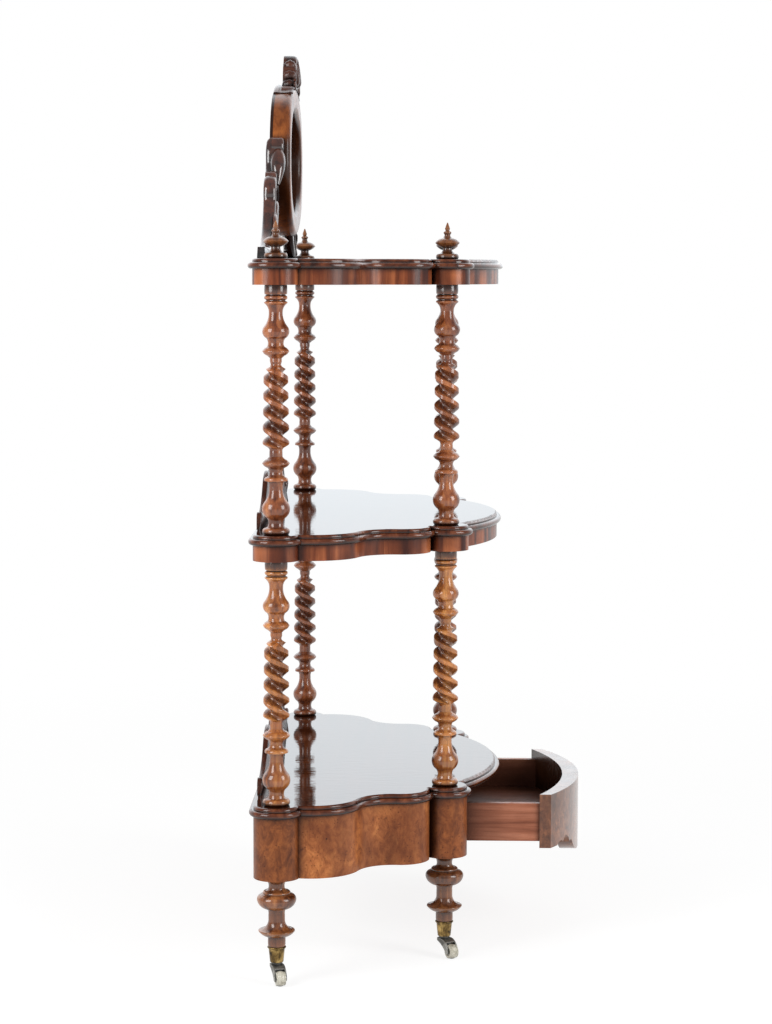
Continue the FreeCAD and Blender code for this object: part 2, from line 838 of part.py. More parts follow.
def column_corners():
    corners = spigot("0", upward=False)
    corners += [
        ("column_base_radius", "0", "column_base_bead"),
        ("column_base_radius - 1", "base_bead_height"),
        ("column_waist_radius", "base_bead_height + 1.3", "-column_waist_hollow"),
        ("column_waist_radius + 0.8", "vase_foot_height"),
        ("vase_foot_radius", "vase_foot_height + 1", "vase_bulge"),
        ("vase_shoulder_radius", "vase_shoulder_height", "-1.8"),
        ("vase_neck_radius", "vase_neck_height"),
        ("vase_neck_radius", "vase_neck_height + 4", "-0.8"),
        ("vase_neck_radius + 2", "plate_height"),
        ("plate_radius", "plate_height + 1.2", "plate_bead"),
        ("plate_radius - 2.5", "plate_height + plate_thickness", "-ring_hollow"),
    ]
    corners += ring("lower_ring_height", "lower_ring_radius")
    corners += [
        ("twist_neck_radius", "lower_ring_height + ring_half_height + 4"),
        ("twist_neck_radius", f"{TWIST_START} - 3"),
    ]
    corners += twist_end()
    corners += [
        ("twist_neck_radius - twist_taper / 2", f"{TWIST_END} + 3"),
        ("twist_neck_radius - twist_taper / 2", from_head("upper_ring_drop + ring_half_height + 4")),
    ]
    corners += ring(from_head("upper_ring_drop"), "upper_ring_radius")
    corners[-1] += ("-2.2",)
    corners += [
        ("bulb_foot_radius - 1.5", from_head("bulb_foot_drop")),
        ("bulb_foot_radius", from_head("bulb_foot_drop - 1"), "bulb_bulge"),
        ("bulb_shoulder_radius", from_head("bulb_shoulder_drop"), "-1.8"),
        ("bulb_neck_radius", from_head("bulb_neck_drop")),
        ("bulb_neck_radius", from_head("bulb_neck_drop - 1"), "-1.4"),
        ("cap_ring_radius - 2", from_head("cap_ring_drop + 0.7")),
        ("cap_ring_radius", from_head("cap_ring_drop - 1"), "0.6"),
        ("cap_ring_radius", from_head("cap_ring_drop - 3.5")),
        ("cap_groove_radius", from_head("cap_ring_drop - 5")),
        ("cap_groove_radius", from_head("cap_bead_drop + 4")),
        ("cap_bead_radius", from_head("cap_bead_drop + 3"), "cap_bead"),
        ("cap_bead_radius", from_head("cap_bead_drop - 3")),
        ("cap_groove_radius", from_head("cap_height + 1.2")),
        ("cap_groove_radius", from_head("cap_height + 0.4")),
        ("cap_radius", from_head("cap_height"), "0.5"),
        ("cap_radius", "column_length"),
    ]
    corners += spigot("column_length", upward=True)
    return corners


def build_columns():
    """Turned columns with a left-hand double barley twist between their rings."""
    body = turned_body("column", column_corners())
    groove = body_sketch(body, "twist_groove", "YZ_Plane")
    rim = "twist_radius + 0.3"
    outside = "twist_radius + 4"
    flank = [
        ("twist_valley_radius + twist_hollow_depth", "twist_hollow_half_height"),
        ("twist_shoulder_radius", "twist_shoulder_half_height", "-twist_round"),
        (rim, STRAND),
        (outside, STRAND),
    ]
    lower = [(radius, f"{TWIST_START} - {up}", *bulge) for radius, up, *bulge in flank]
    upper = [(radius, f"{TWIST_START} + {up}") for radius, up, *_ in reversed(flank)]
    upper[1] += ("-twist_round",)
    upper[3] += ("twist_hollow_depth",)
    add_profile(groove, lower + upper)
    doc.recompute()
    before = body.Shape.Volume
    helix = body.newObject("PartDesign::SubtractiveHelix", "twist")
    helix.Profile = groove
    helix.ReferenceAxis = (groove, ["V_Axis"])
    helix.Mode = "pitch-height-angle"
    helix.LeftHanded = True
    bind(helix, "Pitch", "twist_pitch")
    bind(helix, "Height", f"{TWIST_END} - {TWIST_START}")
    bind(helix, "Angle", f"-atan(twist_taper / ({TWIST_END} - {TWIST_START}))")
    doc.recompute()
    both = body.newObject("PartDesign::PolarPattern", "double_twist")
    both.Originals = [helix]
    both.Axis = (groove, ["V_Axis"])
    both.Angle = 360
    both.Occurrences = 2
    body.Tip = both
    doc.recompute()
    if body.Shape.Volume > before - 1e-3:
        raise RuntimeError("the twist cut nothing")
    for tier, level in (("lower", LOWER_COLUMN_Z), ("upper", UPPER_COLUMN_Z)):
        for corner, (x, depth) in CORNERS.items():
            copy_of(body, f"{tier}_column_{corner}", x, forward(depth), level)


def build_finials():
    tip = "finial_height"
    disc = "finial_disc_height"
    corners = spigot("0", upward=False)
    corners += [
        ("finial_base_radius", "0", "finial_base_bead"),
        ("finial_base_radius - 0.5", "8.5", "-2"),
        ("finial_neck_radius", f"{disc} - 11"),
        ("finial_neck_radius", f"{disc} - 8.5", "1.2"),
        ("finial_disc_radius", disc, "1.6"),
        ("finial_disc_radius * 0.4", f"{disc} + 7.5", "-0.8"),
        ("finial_stem_radius", f"{tip} - 20"),
        ("finial_bead_radius", f"{tip} - 18", "0.9"),
        ("finial_bead_radius", f"{tip} - 14.5"),
        ("finial_stem_radius - 1.4", f"{tip} - 13"),
        ("finial_stem_radius - 0.4", f"{tip} - 9.5"),
        ("finial_tip_radius", tip),
        ("0", tip),
    ]
    body = turned_body("finial", corners)
    for corner, (x, depth) in CORNERS.items():
        copy_of(body, f"finial_{corner}", x, forward(depth), TOP_Z)


def build_feet():
    top = "foot_height"
    disc = "foot_disc_height"
    ledge = "foot_ledge_height"
    corners = [
        ("0", "-foot_tenon_length"),
        ("foot_tenon_radius", "-foot_tenon_length"),
        ("foot_tenon_radius", "0"),
        ("foot_tip_radius", "0"),
        ("foot_collar_radius", "3"),
        ("foot_collar_radius", "foot_collar_height", "1.6"),
        ("foot_dish_radius", "foot_dish_height", "0.7"),
        ("foot_dish_radius", "foot_dish_height + 2.5", "-4.5"),
        ("foot_waist_radius", "foot_waist_height"),
        ("foot_waist_radius", "foot_waist_height + 8", "-0.8"),
        ("foot_disc_foot_radius", f"{disc} - 14.5", "4"),
        ("foot_disc_radius", disc, "2.2"),
        ("foot_ledge_radius", ledge),
        ("foot_ledge_radius - 3", f"{ledge} + 1.5", "1"),
        ("foot_ledge_radius - 5", f"{ledge} + 5.5", "-2.2"),
        ("foot_neck_radius", f"{top} - foot_neck_drop", "-2"),
        ("foot_top_radius", f"{top} - 3"),
        ("foot_top_radius", top),
    ]
    corners += spigot(top, upward=True)
    body = turned_body("foot", corners)
    for corner, (x, depth) in CORNERS.items():
        copy_of(body, f"foot_{corner}", x, forward(depth), "castor_height")


# Castors: a cup on the foot, a swivelling fork, a ceramic wheel on its pin


def castor_socket():
    floor = "socket_floor_height"
    rim = "castor_height - socket_rim_height"
    bore = "foot_tenon_radius + socket_clearance"
    pin_hole = "swivel_pin_radius + axle_clearance"
    return turned_body(
        "castor_socket",
        [
            (pin_hole, floor),
            ("socket_tip_radius", floor),
            ("foot_tip_radius - socket_rim_proud / 2", rim),
            ("foot_tip_radius + socket_rim_proud", f"{rim} + 1", "0.6"),
            ("foot_tip_radius + socket_rim_proud", "castor_height - 0.5"),
            ("foot_tip_radius", "castor_height"),
            (bore, "castor_height"),
            (bore, f"{floor} + socket_floor_thickness"),
            (pin_hole, f"{floor} + socket_floor_thickness"),
        ],
    )


AXLE_Z = "wheel_diameter / 2"
CHEEK_GAP = "wheel_width + 2 * wheel_side_gap"
FORK_WIDTH = f"{CHEEK_GAP} + 2 * cheek_thickness"


def castor_fork():
    """Two cheeks that sweep back from the swivel plate to the axle, in one casting with plate and pin."""
    body = doc.addObject("PartDesign::Body", "castor_fork")
    top = "socket_floor_height - swivel_gap"
    plate = f"{top} - fork_plate_thickness"
    horn = body_sketch(body, "fork_horn", "XZ_Plane")
    add_profile(
        horn,
        [
            ("-fork_plate_radius * 0.7", plate),
            ("-fork_plate_radius * 0.7", f"{plate} - fork_crown_height", "-2"),
            ("castor_trail - fork_boss_radius", AXLE_Z, "fork_boss_radius * 0.85"),
            ("castor_trail + fork_boss_radius", AXLE_Z, "fork_shoulder_rise"),
            ("fork_plate_radius", plate),
        ],
    )
    pad(body, horn, FORK_WIDTH, midplane=True)
    slot = body_sketch(body, "fork_slot", "XZ_Plane")
    add_circle(slot, "castor_trail", AXLE_Z, "wheel_diameter / 2 + wheel_rim_gap")
    pocket(body, slot, CHEEK_GAP, midplane=True)
    eye = body_sketch(body, "fork_eye", "XZ_Plane")
    add_circle(eye, "castor_trail", AXLE_Z, "axle_radius")
    pocket(body, eye, FORK_WIDTH, midplane=True)
    stem = body_sketch(body, "fork_stem", "XZ_Plane")
    stem_end = "socket_floor_height + socket_floor_thickness - swivel_gap"
    add_profile(
        stem,
        [
            ("0", f"{plate} - fork_crown_height / 2"),
            ("fork_plate_radius - 2", f"{plate} - fork_crown_height / 2"),
            ("fork_plate_radius", plate),
            ("fork_plate_radius", top),
            ("swivel_pin_radius", top),
            ("swivel_pin_radius", stem_end),
            ("0", stem_end),
        ],
    )
    turn = body.newObject("PartDesign::Revolution", "fork_plate")
    turn.Profile = stem
    turn.ReferenceAxis = (stem, ["V_Axis"])
    turn.Angle = 360
    doc.recompute()
    return body


def add_circle(sketch, x, y, radius):
    rules = Rules()
    index = sketch.GeometryCount
    centre = FreeCAD.Vector(size(x), size(y), 0)
    sketch.addGeometry(Part.Circle(centre, FreeCAD.Vector(0, 0, 1), size(radius)))
    rules.add("Radius", index, size(radius), text=radius)
    rules.pin(index, 3, "X", x)
    rules.pin(index, 3, "Y", y)
    rules.apply(sketch)


def axle_turning(name, corners):
    """A piece turned about Y, the axle's way."""
    body = doc.addObject("PartDesign::Body", name)
    sketch = body_sketch(body, f"{name}_profile", "XY_Plane")
    add_profile(sketch, corners)
    turn = body.newObject("PartDesign::Revolution", f"{name}_turning")
    turn.Profile = sketch
    turn.ReferenceAxis = (sketch, ["V_Axis"])
    turn.Angle = 360
    doc.recompute()
    return body


def castor_wheel():
    bore = "axle_radius + axle_clearance"
    edge = "wheel_width / 2"
    shoulder = "wheel_diameter / 2 - wheel_crown"
    return axle_turning(
        "castor_wheel",
        [
            (bore, f"-{edge} + wheel_hub_recess"),
            ("wheel_hub_radius", f"-{edge} + wheel_hub_recess"),
            ("wheel_hub_radius + 1", f"-{edge}"),
            (f"{shoulder} - 1", f"-{edge}", "0.8"),
            (shoulder, f"-{edge} + 2", "wheel_crown"),
            (shoulder, f"{edge} - 2", "0.8"),
            (f"{shoulder} - 1", edge),
            ("wheel_hub_radius + 1", edge),
            ("wheel_hub_radius", f"{edge} - wheel_hub_recess"),
            (bore, f"{edge} - wheel_hub_recess"),
        ],
    )


def castor_axle():
    end = f"({FORK_WIDTH}) / 2"
    return axle_turning(
        "castor_axle",
        [("0", f"-{end}"), ("axle_radius", f"-{end}"), ("axle_radius", end), ("0", end)],
    )


def build_castors():
    socket, fork, wheel, axle = castor_socket(), castor_fork(), castor_wheel(), castor_axle()
    for corner, (x, depth) in CORNERS.items():
        turn = f"{corner}_turn"
        wheel_x = f"{x} + castor_trail * cos({turn} * 1 deg)"
        wheel_y = f"{forward(depth)} + castor_trail * sin({turn} * 1 deg)"
        copy_of(socket, f"castor_socket_{corner}", x, forward(depth), "0")
        copy_of(fork, f"castor_fork_{corner}", x, forward(depth), "0", turn)
        copy_of(wheel, f"castor_wheel_{corner}", wheel_x, wheel_y, AXLE_Z, turn)
        copy_of(axle, f"castor_axle_{corner}", wheel_x, wheel_y, AXLE_Z, turn)


# Drawer, drawn shut and moved forward to where it stands open

DRAWER_HALF = "front_column_x - corner_radius - drawer_end_gap"
DRAWER_TOP_Z = f"{BOTTOM_BOARD_Z} - drawer_top_gap"
DRAWER_FOOT_Z = f"{APRON_Z} + drawer_foot_rise"
DRAWER_SIDE_Z = f"{APRON_Z} + drawer_side_rise"
SIDE_OUTER = f"({DRAWER_HALF}) - drawer_side_inset"
SIDE_INNER = f"{SIDE_OUTER} - drawer_side_thickness"
BOW_CENTRE = forward(BOW_CENTRE_DEPTH)
# The front is thickest in its middle: its inside is a flatter bow than its face
FACE_RISE = f"(bow_radius - sqrt(bow_radius^2 - ({DRAWER_HALF})^2))"
INNER_RISE = f"({FACE_RISE} - drawer_front_thickness + drawer_front_end_depth)"
INNER_BOW = f"((({DRAWER_HALF})^2 + {INNER_RISE}^2) / (2 * {INNER_RISE}))"
INNER_CENTRE = f"{BOW_CENTRE} - bow_radius + drawer_front_thickness + {INNER_BOW}"


def drawer_front():
    """A bowed front whose lower edge is cut to feet, scallops and a hanging middle."""
    body = doc.addObject("PartDesign::Body", "bow_front")
    plan = body_sketch(body, "bow_front_plan", "XY_Plane")
    half = size(DRAWER_HALF)
    centre = (0, size(BOW_CENTRE))
    outer = (half, centre[1] - math.sqrt(size("bow_radius") ** 2 - half**2))
    inner_centre = (0, size(INNER_CENTRE))
    inner = (half, inner_centre[1] - math.sqrt(size(INNER_BOW) ** 2 - half**2))
    edges = [
        Edge(outer, mirror_point(outer), centre, True, "bow_radius", ("0", BOW_CENTRE)),
        Edge(mirror_point(outer), mirror_point(inner)),
        Edge(mirror_point(inner), inner, inner_centre, False, INNER_BOW, ("0", INNER_CENTRE)),
        Edge(inner, outer),
    ]
    rules = add_edges(plan, edges)
    rules.pin(0, 2, "X", DRAWER_HALF)
    rules.pin(0, 1, "X", f"-({DRAWER_HALF})")
    rules.pin(2, 1, "X", f"-({DRAWER_HALF})")
    rules.pin(2, 2, "X", DRAWER_HALF)
    rules.apply(plan)
    depth = "pendant_drop + pendant_sag"
    height = f"({DRAWER_TOP_Z}) - ({DRAWER_FOOT_Z}) + {depth}"
    pad(body, plan, height)
    bind(plan, "AttachmentOffset.Base.z", f"{DRAWER_FOOT_Z} - ({depth})")
    doc.recompute()
    cut = body_sketch(body, "bow_front_scallops", "XZ_Plane")
    foot = DRAWER_FOOT_Z
    bottom = f"{foot} - ({depth}) - 5"
    run = [f"({DRAWER_HALF}) - drawer_foot_width"]
    for stretch in ("scallop", "cusp", "arch", "arch_fall", "lobe", "pendant_fall"):
        run.append(f"{run[-1]} - {stretch}_width")
    half_outline = [
        ("0", bottom),
        (f"({DRAWER_HALF}) + 5", bottom),
        (f"({DRAWER_HALF}) + 5", foot),
        (run[0], foot, "2"),
        (run[1], f"{foot} + scallop_rise", "1"),
        (run[2], f"{foot} + cusp_level", "2"),
        (run[3], f"{foot} + arch_rise", "3"),
        (run[4], f"{foot} + lobe_level", "lobe_rise"),
        (run[5], f"{foot} + lobe_level", "-6"),
        (run[6], f"{foot} - pendant_drop", "-1"),
        ("0", f"{foot} - pendant_drop - pendant_sag"),
    ]
    add_profile(cut, mirrored(half_outline))
    pocket(body, cut, midplane=True)
    return body


def build_drawer():
    open_y = "-drawer_open"
    node(place(drawer_front(), "0", open_y, "0"), "drawer_front")
    inside = cylinder("drawer_bow_inside", "0", INNER_CENTRE, "0", INNER_BOW, BOTTOM_BOARD_Z)
    length = f"{BOW_APEX} - drawer_back_depth"
    rear_y = forward("drawer_back_depth")
    front_y = forward(BOW_APEX)
    for side, left in (("left", f"-({SIDE_OUTER})"), ("right", SIDE_INNER)):
        blank = box(
            f"drawer_{side}_blank", left, front_y, DRAWER_SIDE_Z,
            "drawer_side_thickness", length, "drawer_side_height",
        )
        panel = combine("Common", f"drawer_{side}_panel", blank, inside)
        node(place(panel, "0", open_y, "0"), f"drawer_{side}_side")
    bottom_z = f"{DRAWER_SIDE_Z} + drawer_bottom_rise"
    blank = box(
        "drawer_bottom_blank", f"-({SIDE_INNER})", front_y, bottom_z,
        f"2 * ({SIDE_INNER})", length, "drawer_bottom_thickness",
    )
    panel = combine("Common", "drawer_bottom_panel", blank, inside)
    node(place(panel, "0", open_y, "0"), "drawer_bottom")
    above = "drawer_bottom_rise + drawer_bottom_thickness"
    back = box(
        "drawer_back_panel", f"-({SIDE_INNER})", f"{rear_y} - drawer_back_thickness - drawer_open",
        f"{DRAWER_SIDE_Z} + {above}", f"2 * ({SIDE_INNER})", "drawer_back_thickness",
        f"drawer_side_height - ({above}) - drawer_back_lowering",
    )
    node(back, "drawer_back")
    build_guides()


def build_guides():
    """Runners under the drawer's sides and kickers over them, coped round the front posts."""
    inner = f"{SIDE_INNER} - runner_inner_inset + drawer_side_thickness"
    width = f"front_column_x - ({inner})"
    y = forward("column_depth")
    length = "column_depth + corner_radius - wall_thickness"
    kicker_z = f"{DRAWER_SIDE_Z} + drawer_side_height + drawer_gap"
    levels = {
        "drawer_runners": (f"{DRAWER_SIDE_Z} - drawer_gap - runner_height", "runner_height"),
        "drawer_kickers": (kicker_z, f"{BOTTOM_BOARD_Z} - ({kicker_z})"),
    }
    for label, (z, height) in levels.items():
        rails = []
        for side, left in (("left", "-front_column_x"), ("right", inner)):
            rail = box(f"{label}_{side}_blank", left, y, z, width, length, height)
            x = CORNERS[f"front_{side}"][0]
            post = cylinder(f"{label}_{side}_post", x, y, z, "corner_radius", height)
            rails.append(combine("Cut", f"{label}_{side}", rail, post))
        node(group(label, rails), label)


# Mirror: an oval frame with its glass and backboard, a carved crest and two scroll brackets

MIRROR_Z = f"{TOP_Z} + mirror_centre_height"


def draw_oval(sketch, inset):
    """An oval of four arcs about the mirror's centre, drawn in from the frame's outside by inset."""
    side_x = size("mirror_half_width - mirror_end_radius")
    rise = size("mirror_half_height - mirror_end_radius")
    drop_text = (
        "((mirror_half_width - mirror_end_radius)^2 - (mirror_half_height - mirror_end_radius)^2)"
        " / (2 * (mirror_half_height - mirror_end_radius))"
    )
    drop = size(drop_text)
    end_radius = size(f"mirror_end_radius - ({inset})")
    level = size(MIRROR_Z)
    right, left = (side_x, level), (-side_x, level)
    over, under = (0, level - drop), (0, level + drop)
    reach = math.hypot(side_x, drop)
    touch = (side_x + end_radius * side_x / reach, level + end_radius * drop / reach)
    low = (touch[0], 2 * level - touch[1])
    end_text = f"mirror_end_radius - ({inset})"
    long_text = f"mirror_half_height + ({drop_text}) - ({inset})"
    side_text = "mirror_half_width - mirror_end_radius"
    edges = [
        Edge(low, touch, right, False, end_text, (side_text, MIRROR_Z)),
        Edge(touch, mirror_point(touch), over, False, long_text),
        Edge(mirror_point(touch), mirror_point(low), left, False, end_text, (f"-({side_text})", MIRROR_Z)),
        Edge(mirror_point(low), low, under, False, long_text),
    ]
    rules = add_edges(sketch, edges, smooth=(0, 1, 2, 3))
    rules.apply(sketch)


def upright_body(name, draw, thickness, setback):
    """A flat piece standing across the back: drawn in the XZ plane, setback behind the rear columns' axes."""
    body = doc.addObject("PartDesign::Body", name)
    sketch = body_sketch(body, f"{name}_outline", "XZ_Plane")
    draw(sketch)
    pad(body, sketch, thickness, reverse=True)
    place(body, "0", f"{ORIGIN} + ({setback})", "0")
    doc.recompute()
    return body


def flat_front(edge):
    """Picks the edges on the front face of an upright piece."""
    near = 1e-4
    return abs(edge.BoundBox.YMax) < near and abs(edge.BoundBox.YMin) < near


def build_mirror():
    front = "-mirror_setback"
    frame = doc.addObject("PartDesign::Body", "oval_frame")
    outline = body_sketch(frame, "oval_outline", "XZ_Plane")
    draw_oval(outline, "0")
    pad(frame, outline, "mirror_depth", reverse=True)
    sight = body_sketch(frame, "oval_sight", "XZ_Plane")
    draw_oval(sight, "mirror_band")
    pocket(frame, sight, midplane=True)
    rebate = body_sketch(frame, "oval_rebate", "XZ_Plane", "-mirror_depth")
    draw_oval(rebate, "mirror_band - mirror_lip")
    pocket(frame, rebate, "rebate_depth", reverse=True)
    fillet(frame, "mirror_round", flat_front)
    node(place(frame, "0", f"{ORIGIN} + {front}", "0"), "mirror_frame")

    inset = "mirror_band - mirror_lip + glass_clearance"
    glass_front = f"{front} + mirror_depth - rebate_depth"
    glass = upright_body("oval_glass", lambda s: draw_oval(s, inset), "glass_thickness", glass_front)
    node(glass, "mirror_glass")
    board_front = f"{glass_front} + glass_thickness"
    board = upright_body("oval_backboard", lambda s: draw_oval(s, inset), "backboard_thickness", board_front)
    node(board, "mirror_backboard")

    node(carved_body("crest", draw_crest, "crest_thickness", "-crest_setback"), "mirror_crest")
    right = carved_body("bracket", draw_bracket, "bracket_thickness", "bracket_setback")
    node(right, "mirror_bracket_right")
    left = doc.addObject("Part::Mirroring", "bracket_left")
    left.Source = right
    left.Normal = FreeCAD.Vector(1, 0, 0)
    node(left, "mirror_bracket_left")


def carved_body(name, draw, thickness, setback):
    """An upright piece that fits against the outside of the oval."""
    body = upright_body(name, draw, thickness, setback)
    seat = body_sketch(body, f"{name}_seat", "XZ_Plane")
    draw_oval(seat, "0")
    pocket(body, seat, midplane=True)
    return body


def above_top(height):
    return f"{TOP_Z} + {height}"


def draw_crest(sketch):
    half = [
        ("0", above_top("crest_root_height")),
        ("crest_half_width", above_top("crest_root_height")),
        ("crest_half_width", above_top("crest_shoulder_height"), "9"),
        ("crest_step_x + 14", above_top("crest_step_height - 8"), "-4"),
        ("crest_step_x", above_top("crest_step_height"), "6"),
        ("crest_cap_x", above_top("crest_cap_height"), "4"),
        ("0", above_top("crest_height")),
    ]
    add_profile(sketch, mirrored(half))


def draw_bracket(sketch):
    outer = "bracket_outer_x"
    add_profile(
        sketch,
        [
            (f"{outer} - bracket_toe_width", above_top("0")),
            (outer, above_top("0")),
            (outer, above_top("bracket_block_height")),
            (f"{outer} - bracket_block_width", above_top("bracket_block_height"), "-14"),
            ("bracket_waist_x", above_top("bracket_waist_height"), "11"),
            ("bracket_ear_x", above_top("bracket_ear_height"), "-7"),
            ("bracket_hollow_x", above_top("bracket_hollow_height"), "11"),
            ("bracket_top_x", above_top("bracket_top_height")),
            ("bracket_root_x", above_top("bracket_root_height"), "22"),
        ],
    )


# Galleries: low shaped rails at the back of the middle and bottom shelves


def build_galleries():
    for label, level in (("bottom_gallery", LOWER_COLUMN_Z), ("middle_gallery", UPPER_COLUMN_Z)):
        half = [
            ("0", level),
            ("gallery_half_width", level),
            ("gallery_half_width", f"{level} + gallery_end_height", "8"),
            ("gallery_half_width - gallery_end_width", f"{level} + gallery_end_height + 4", "-12"),
            ("gallery_wing_x", f"{level} + gallery_wing_height", "12"),
            ("gallery_dip_x", f"{level} + gallery_dip_height", "-6"),
            ("gallery_crest_x", f"{level} + gallery_crest_height", "6"),
            ("0", f"{level} + gallery_crest_height + gallery_crest_rise"),
        ]
        outline = mirrored(half)
        body = upright_body(
            f"{label}_rail", lambda s, o=outline: add_profile(s, o), "gallery_thickness", "gallery_setback"
        )
        node(body, label)


build_boards()
build_friezes()
build_apron()
build_columns()
build_finials()
build_feet()
build_castors()
build_drawer()
build_mirror()
build_galleries()
doc.recompute()

for item in doc.Objects:
    if {"Invalid", "Error"} & set(item.State):
        raise RuntimeError(f"{item.Name} failed: {item.State}")
os.makedirs("parts", exist_ok=True)
shapes = {label: Part.getShape(target) for label, target in NODES.items()}
for label, shape in shapes.items():
    if shape.isNull() or not shape.isValid() or not shape.Solids:
        raise RuntimeError(f"{label} has no valid shape")
for label, shape in shapes.items():
    shape.exportStep(f"parts/{label}.step")
print(len(shapes), "pieces")
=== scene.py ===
import json
from math import cos, exp, pi, radians, sin

import bmesh
import bpy
from mathutils import Matrix, Vector
from mathutils.geometry import delaunay_2d_cdt, intersect_point_line


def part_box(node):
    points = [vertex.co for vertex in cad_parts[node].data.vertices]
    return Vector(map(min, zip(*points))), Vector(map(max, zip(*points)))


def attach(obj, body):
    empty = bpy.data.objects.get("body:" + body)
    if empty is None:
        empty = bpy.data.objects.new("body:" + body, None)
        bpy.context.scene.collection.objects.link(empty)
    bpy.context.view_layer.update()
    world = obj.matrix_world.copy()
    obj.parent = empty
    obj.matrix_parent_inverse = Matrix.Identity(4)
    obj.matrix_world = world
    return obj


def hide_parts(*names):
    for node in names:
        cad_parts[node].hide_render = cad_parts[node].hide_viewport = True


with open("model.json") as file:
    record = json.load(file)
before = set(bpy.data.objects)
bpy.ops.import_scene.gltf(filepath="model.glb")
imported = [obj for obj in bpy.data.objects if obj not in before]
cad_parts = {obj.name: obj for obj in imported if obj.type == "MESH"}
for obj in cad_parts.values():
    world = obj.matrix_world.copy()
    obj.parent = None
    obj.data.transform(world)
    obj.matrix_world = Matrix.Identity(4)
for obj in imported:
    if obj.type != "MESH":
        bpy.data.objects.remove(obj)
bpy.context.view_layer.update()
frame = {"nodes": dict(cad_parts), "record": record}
NODES = frame["nodes"]
CORNERS = ("rear_left", "rear_right", "front_left", "front_right")


# Materials

# Specular level under a coat of polish, and without one
COATED_SPECULAR = 0.15
BARE_SPECULAR = 0.5


class Paint:
    """One node material: adds its texture nodes and links them to its shader."""

    def __init__(self, name):
        self.material = bpy.data.materials.new(name)
        self.material.use_nodes = True
        self.tree = self.material.node_tree
        self.shader = self.tree.nodes["Principled BSDF"]
        self.here = self.add("ShaderNodeTexCoord").outputs["Object"]

    def add(self, kind, **settings):
        made = self.tree.nodes.new(kind)
        for key, value in settings.items():
            setattr(made, key, value)
        return made

    def feed(self, socket, value):
        """Links a socket to another, or sets its value."""
        if isinstance(value, bpy.types.NodeSocket):
            self.tree.links.new(value, socket)
        else:
            socket.default_value = value

    def stretched(self, scale, offset=(0, 0, 0)):
        """The place of the point, in steps per metre along each axis."""
        mapping = self.add("ShaderNodeMapping")
        self.feed(mapping.inputs["Vector"], self.here)
        mapping.inputs["Scale"].default_value = scale
        mapping.inputs["Location"].default_value = offset
        return mapping.outputs["Vector"]

    def noise(self, scale, detail=4.0, roughness=0.55, distortion=0.0, offset=(0, 0, 0)):
        texture = self.add("ShaderNodeTexNoise")
        self.feed(texture.inputs["Vector"], self.stretched(scale, offset))
        texture.inputs["Scale"].default_value = 1
        texture.inputs["Detail"].default_value = detail
        texture.inputs["Roughness"].default_value = roughness
        texture.inputs["Distortion"].default_value = distortion
        return texture.outputs["Fac"]

    def cells(self, scale, feature="F1"):
        """The distance to the middle of the nearest cell, or to its edge."""
        texture = self.add("ShaderNodeTexVoronoi", feature=feature)
        self.feed(texture.inputs["Vector"], self.stretched(scale))
        texture.inputs["Scale"].default_value = 1
        return texture.outputs["Distance"]

    def ramp(self, factor, *stops):
        """Colours by a factor, from stops of a position and a colour."""
        made = self.add("ShaderNodeValToRGB")
        self.feed(made.inputs["Fac"], factor)
        elements = made.color_ramp.elements
        while len(elements) < len(stops):
            elements.new(0.5)
        for element, (position, colour) in zip(elements, stops):
            element.position = position
            element.color = (*colour, 1)
        return made.outputs["Color"]

    def span(self, value, low, high, start=0.0, end=1.0):
        """Maps a value from one range to another, held at both ends."""
        made = self.add("ShaderNodeMapRange")
        keys = ("Value", "From Min", "From Max", "To Min", "To Max")
        for key, given in zip(keys, (value, low, high, start, end)):
            self.feed(made.inputs[key], given)
        return made.outputs["Result"]

    def math(self, operation, a, b):
        made = self.add("ShaderNodeMath", operation=operation)
        self.feed(made.inputs[0], a)
        self.feed(made.inputs[1], b)
        return made.outputs[0]

    def times(self, a, b):
        return self.math("MULTIPLY", a, b)

    def mix(self, factor, a, b):
        """Colour a where the factor is 0, and colour b where it is 1."""
        made = self.add("ShaderNodeMix", data_type="RGBA")
        sockets = [socket for socket in made.inputs if socket.enabled]
        for socket, value in zip(sockets, (factor, a, b)):
            self.feed(socket, (*value, 1) if isinstance(value, tuple) else value)
        return next(socket for socket in made.outputs if socket.enabled)

    def crevice(self, distance, inside=False):
        """1 in the open, falling to 0 in corners and grooves, or on sharp edges if traced inside."""
        made = self.add("ShaderNodeAmbientOcclusion", samples=6, inside=inside)
        made.inputs["Distance"].default_value = distance
        return made.outputs["AO"]

    def facing(self, axis):
        """How far the surface faces along a row axis, from -1 to 1."""
        made = self.add("ShaderNodeSeparateXYZ")
        self.feed(made.inputs[0], self.add("ShaderNodeNewGeometry").outputs["Normal"])
        return made.outputs[axis]

    def place(self, axis):
        """The row coordinate of the point, in metres."""
        made = self.add("ShaderNodeSeparateXYZ")
        self.feed(made.inputs[0], self.here)
        return made.outputs[axis]

    def bump(self, height, distance, strength):
        made = self.add("ShaderNodeBump")
        self.feed(made.inputs["Height"], height)
        made.inputs["Distance"].default_value = distance
        made.inputs["Strength"].default_value = strength
        return made.outputs["Normal"]

    def finish(self, colour, roughness, normal, coat=0.0, gloss=0.05, metallic=0.0, polish=None, ior=1.5):
        """Links the shader; gloss is the roughness of the coat, and polish its normal."""
        sockets = self.shader.inputs
        sockets["Specular IOR Level"].default_value = COATED_SPECULAR if coat else BARE_SPECULAR
        self.feed(sockets["Base Color"], colour)
        self.feed(sockets["Roughness"], roughness)
        self.feed(sockets["Normal"], normal)
        sockets["Coat Weight"].default_value = coat
        self.feed(sockets["Coat Roughness"], gloss)
        sockets["Coat IOR"].default_value = ior
        if polish:
            self.feed(sockets["Coat Normal"], polish)
        sockets["Metallic"].default_value = metallic
        return self.material


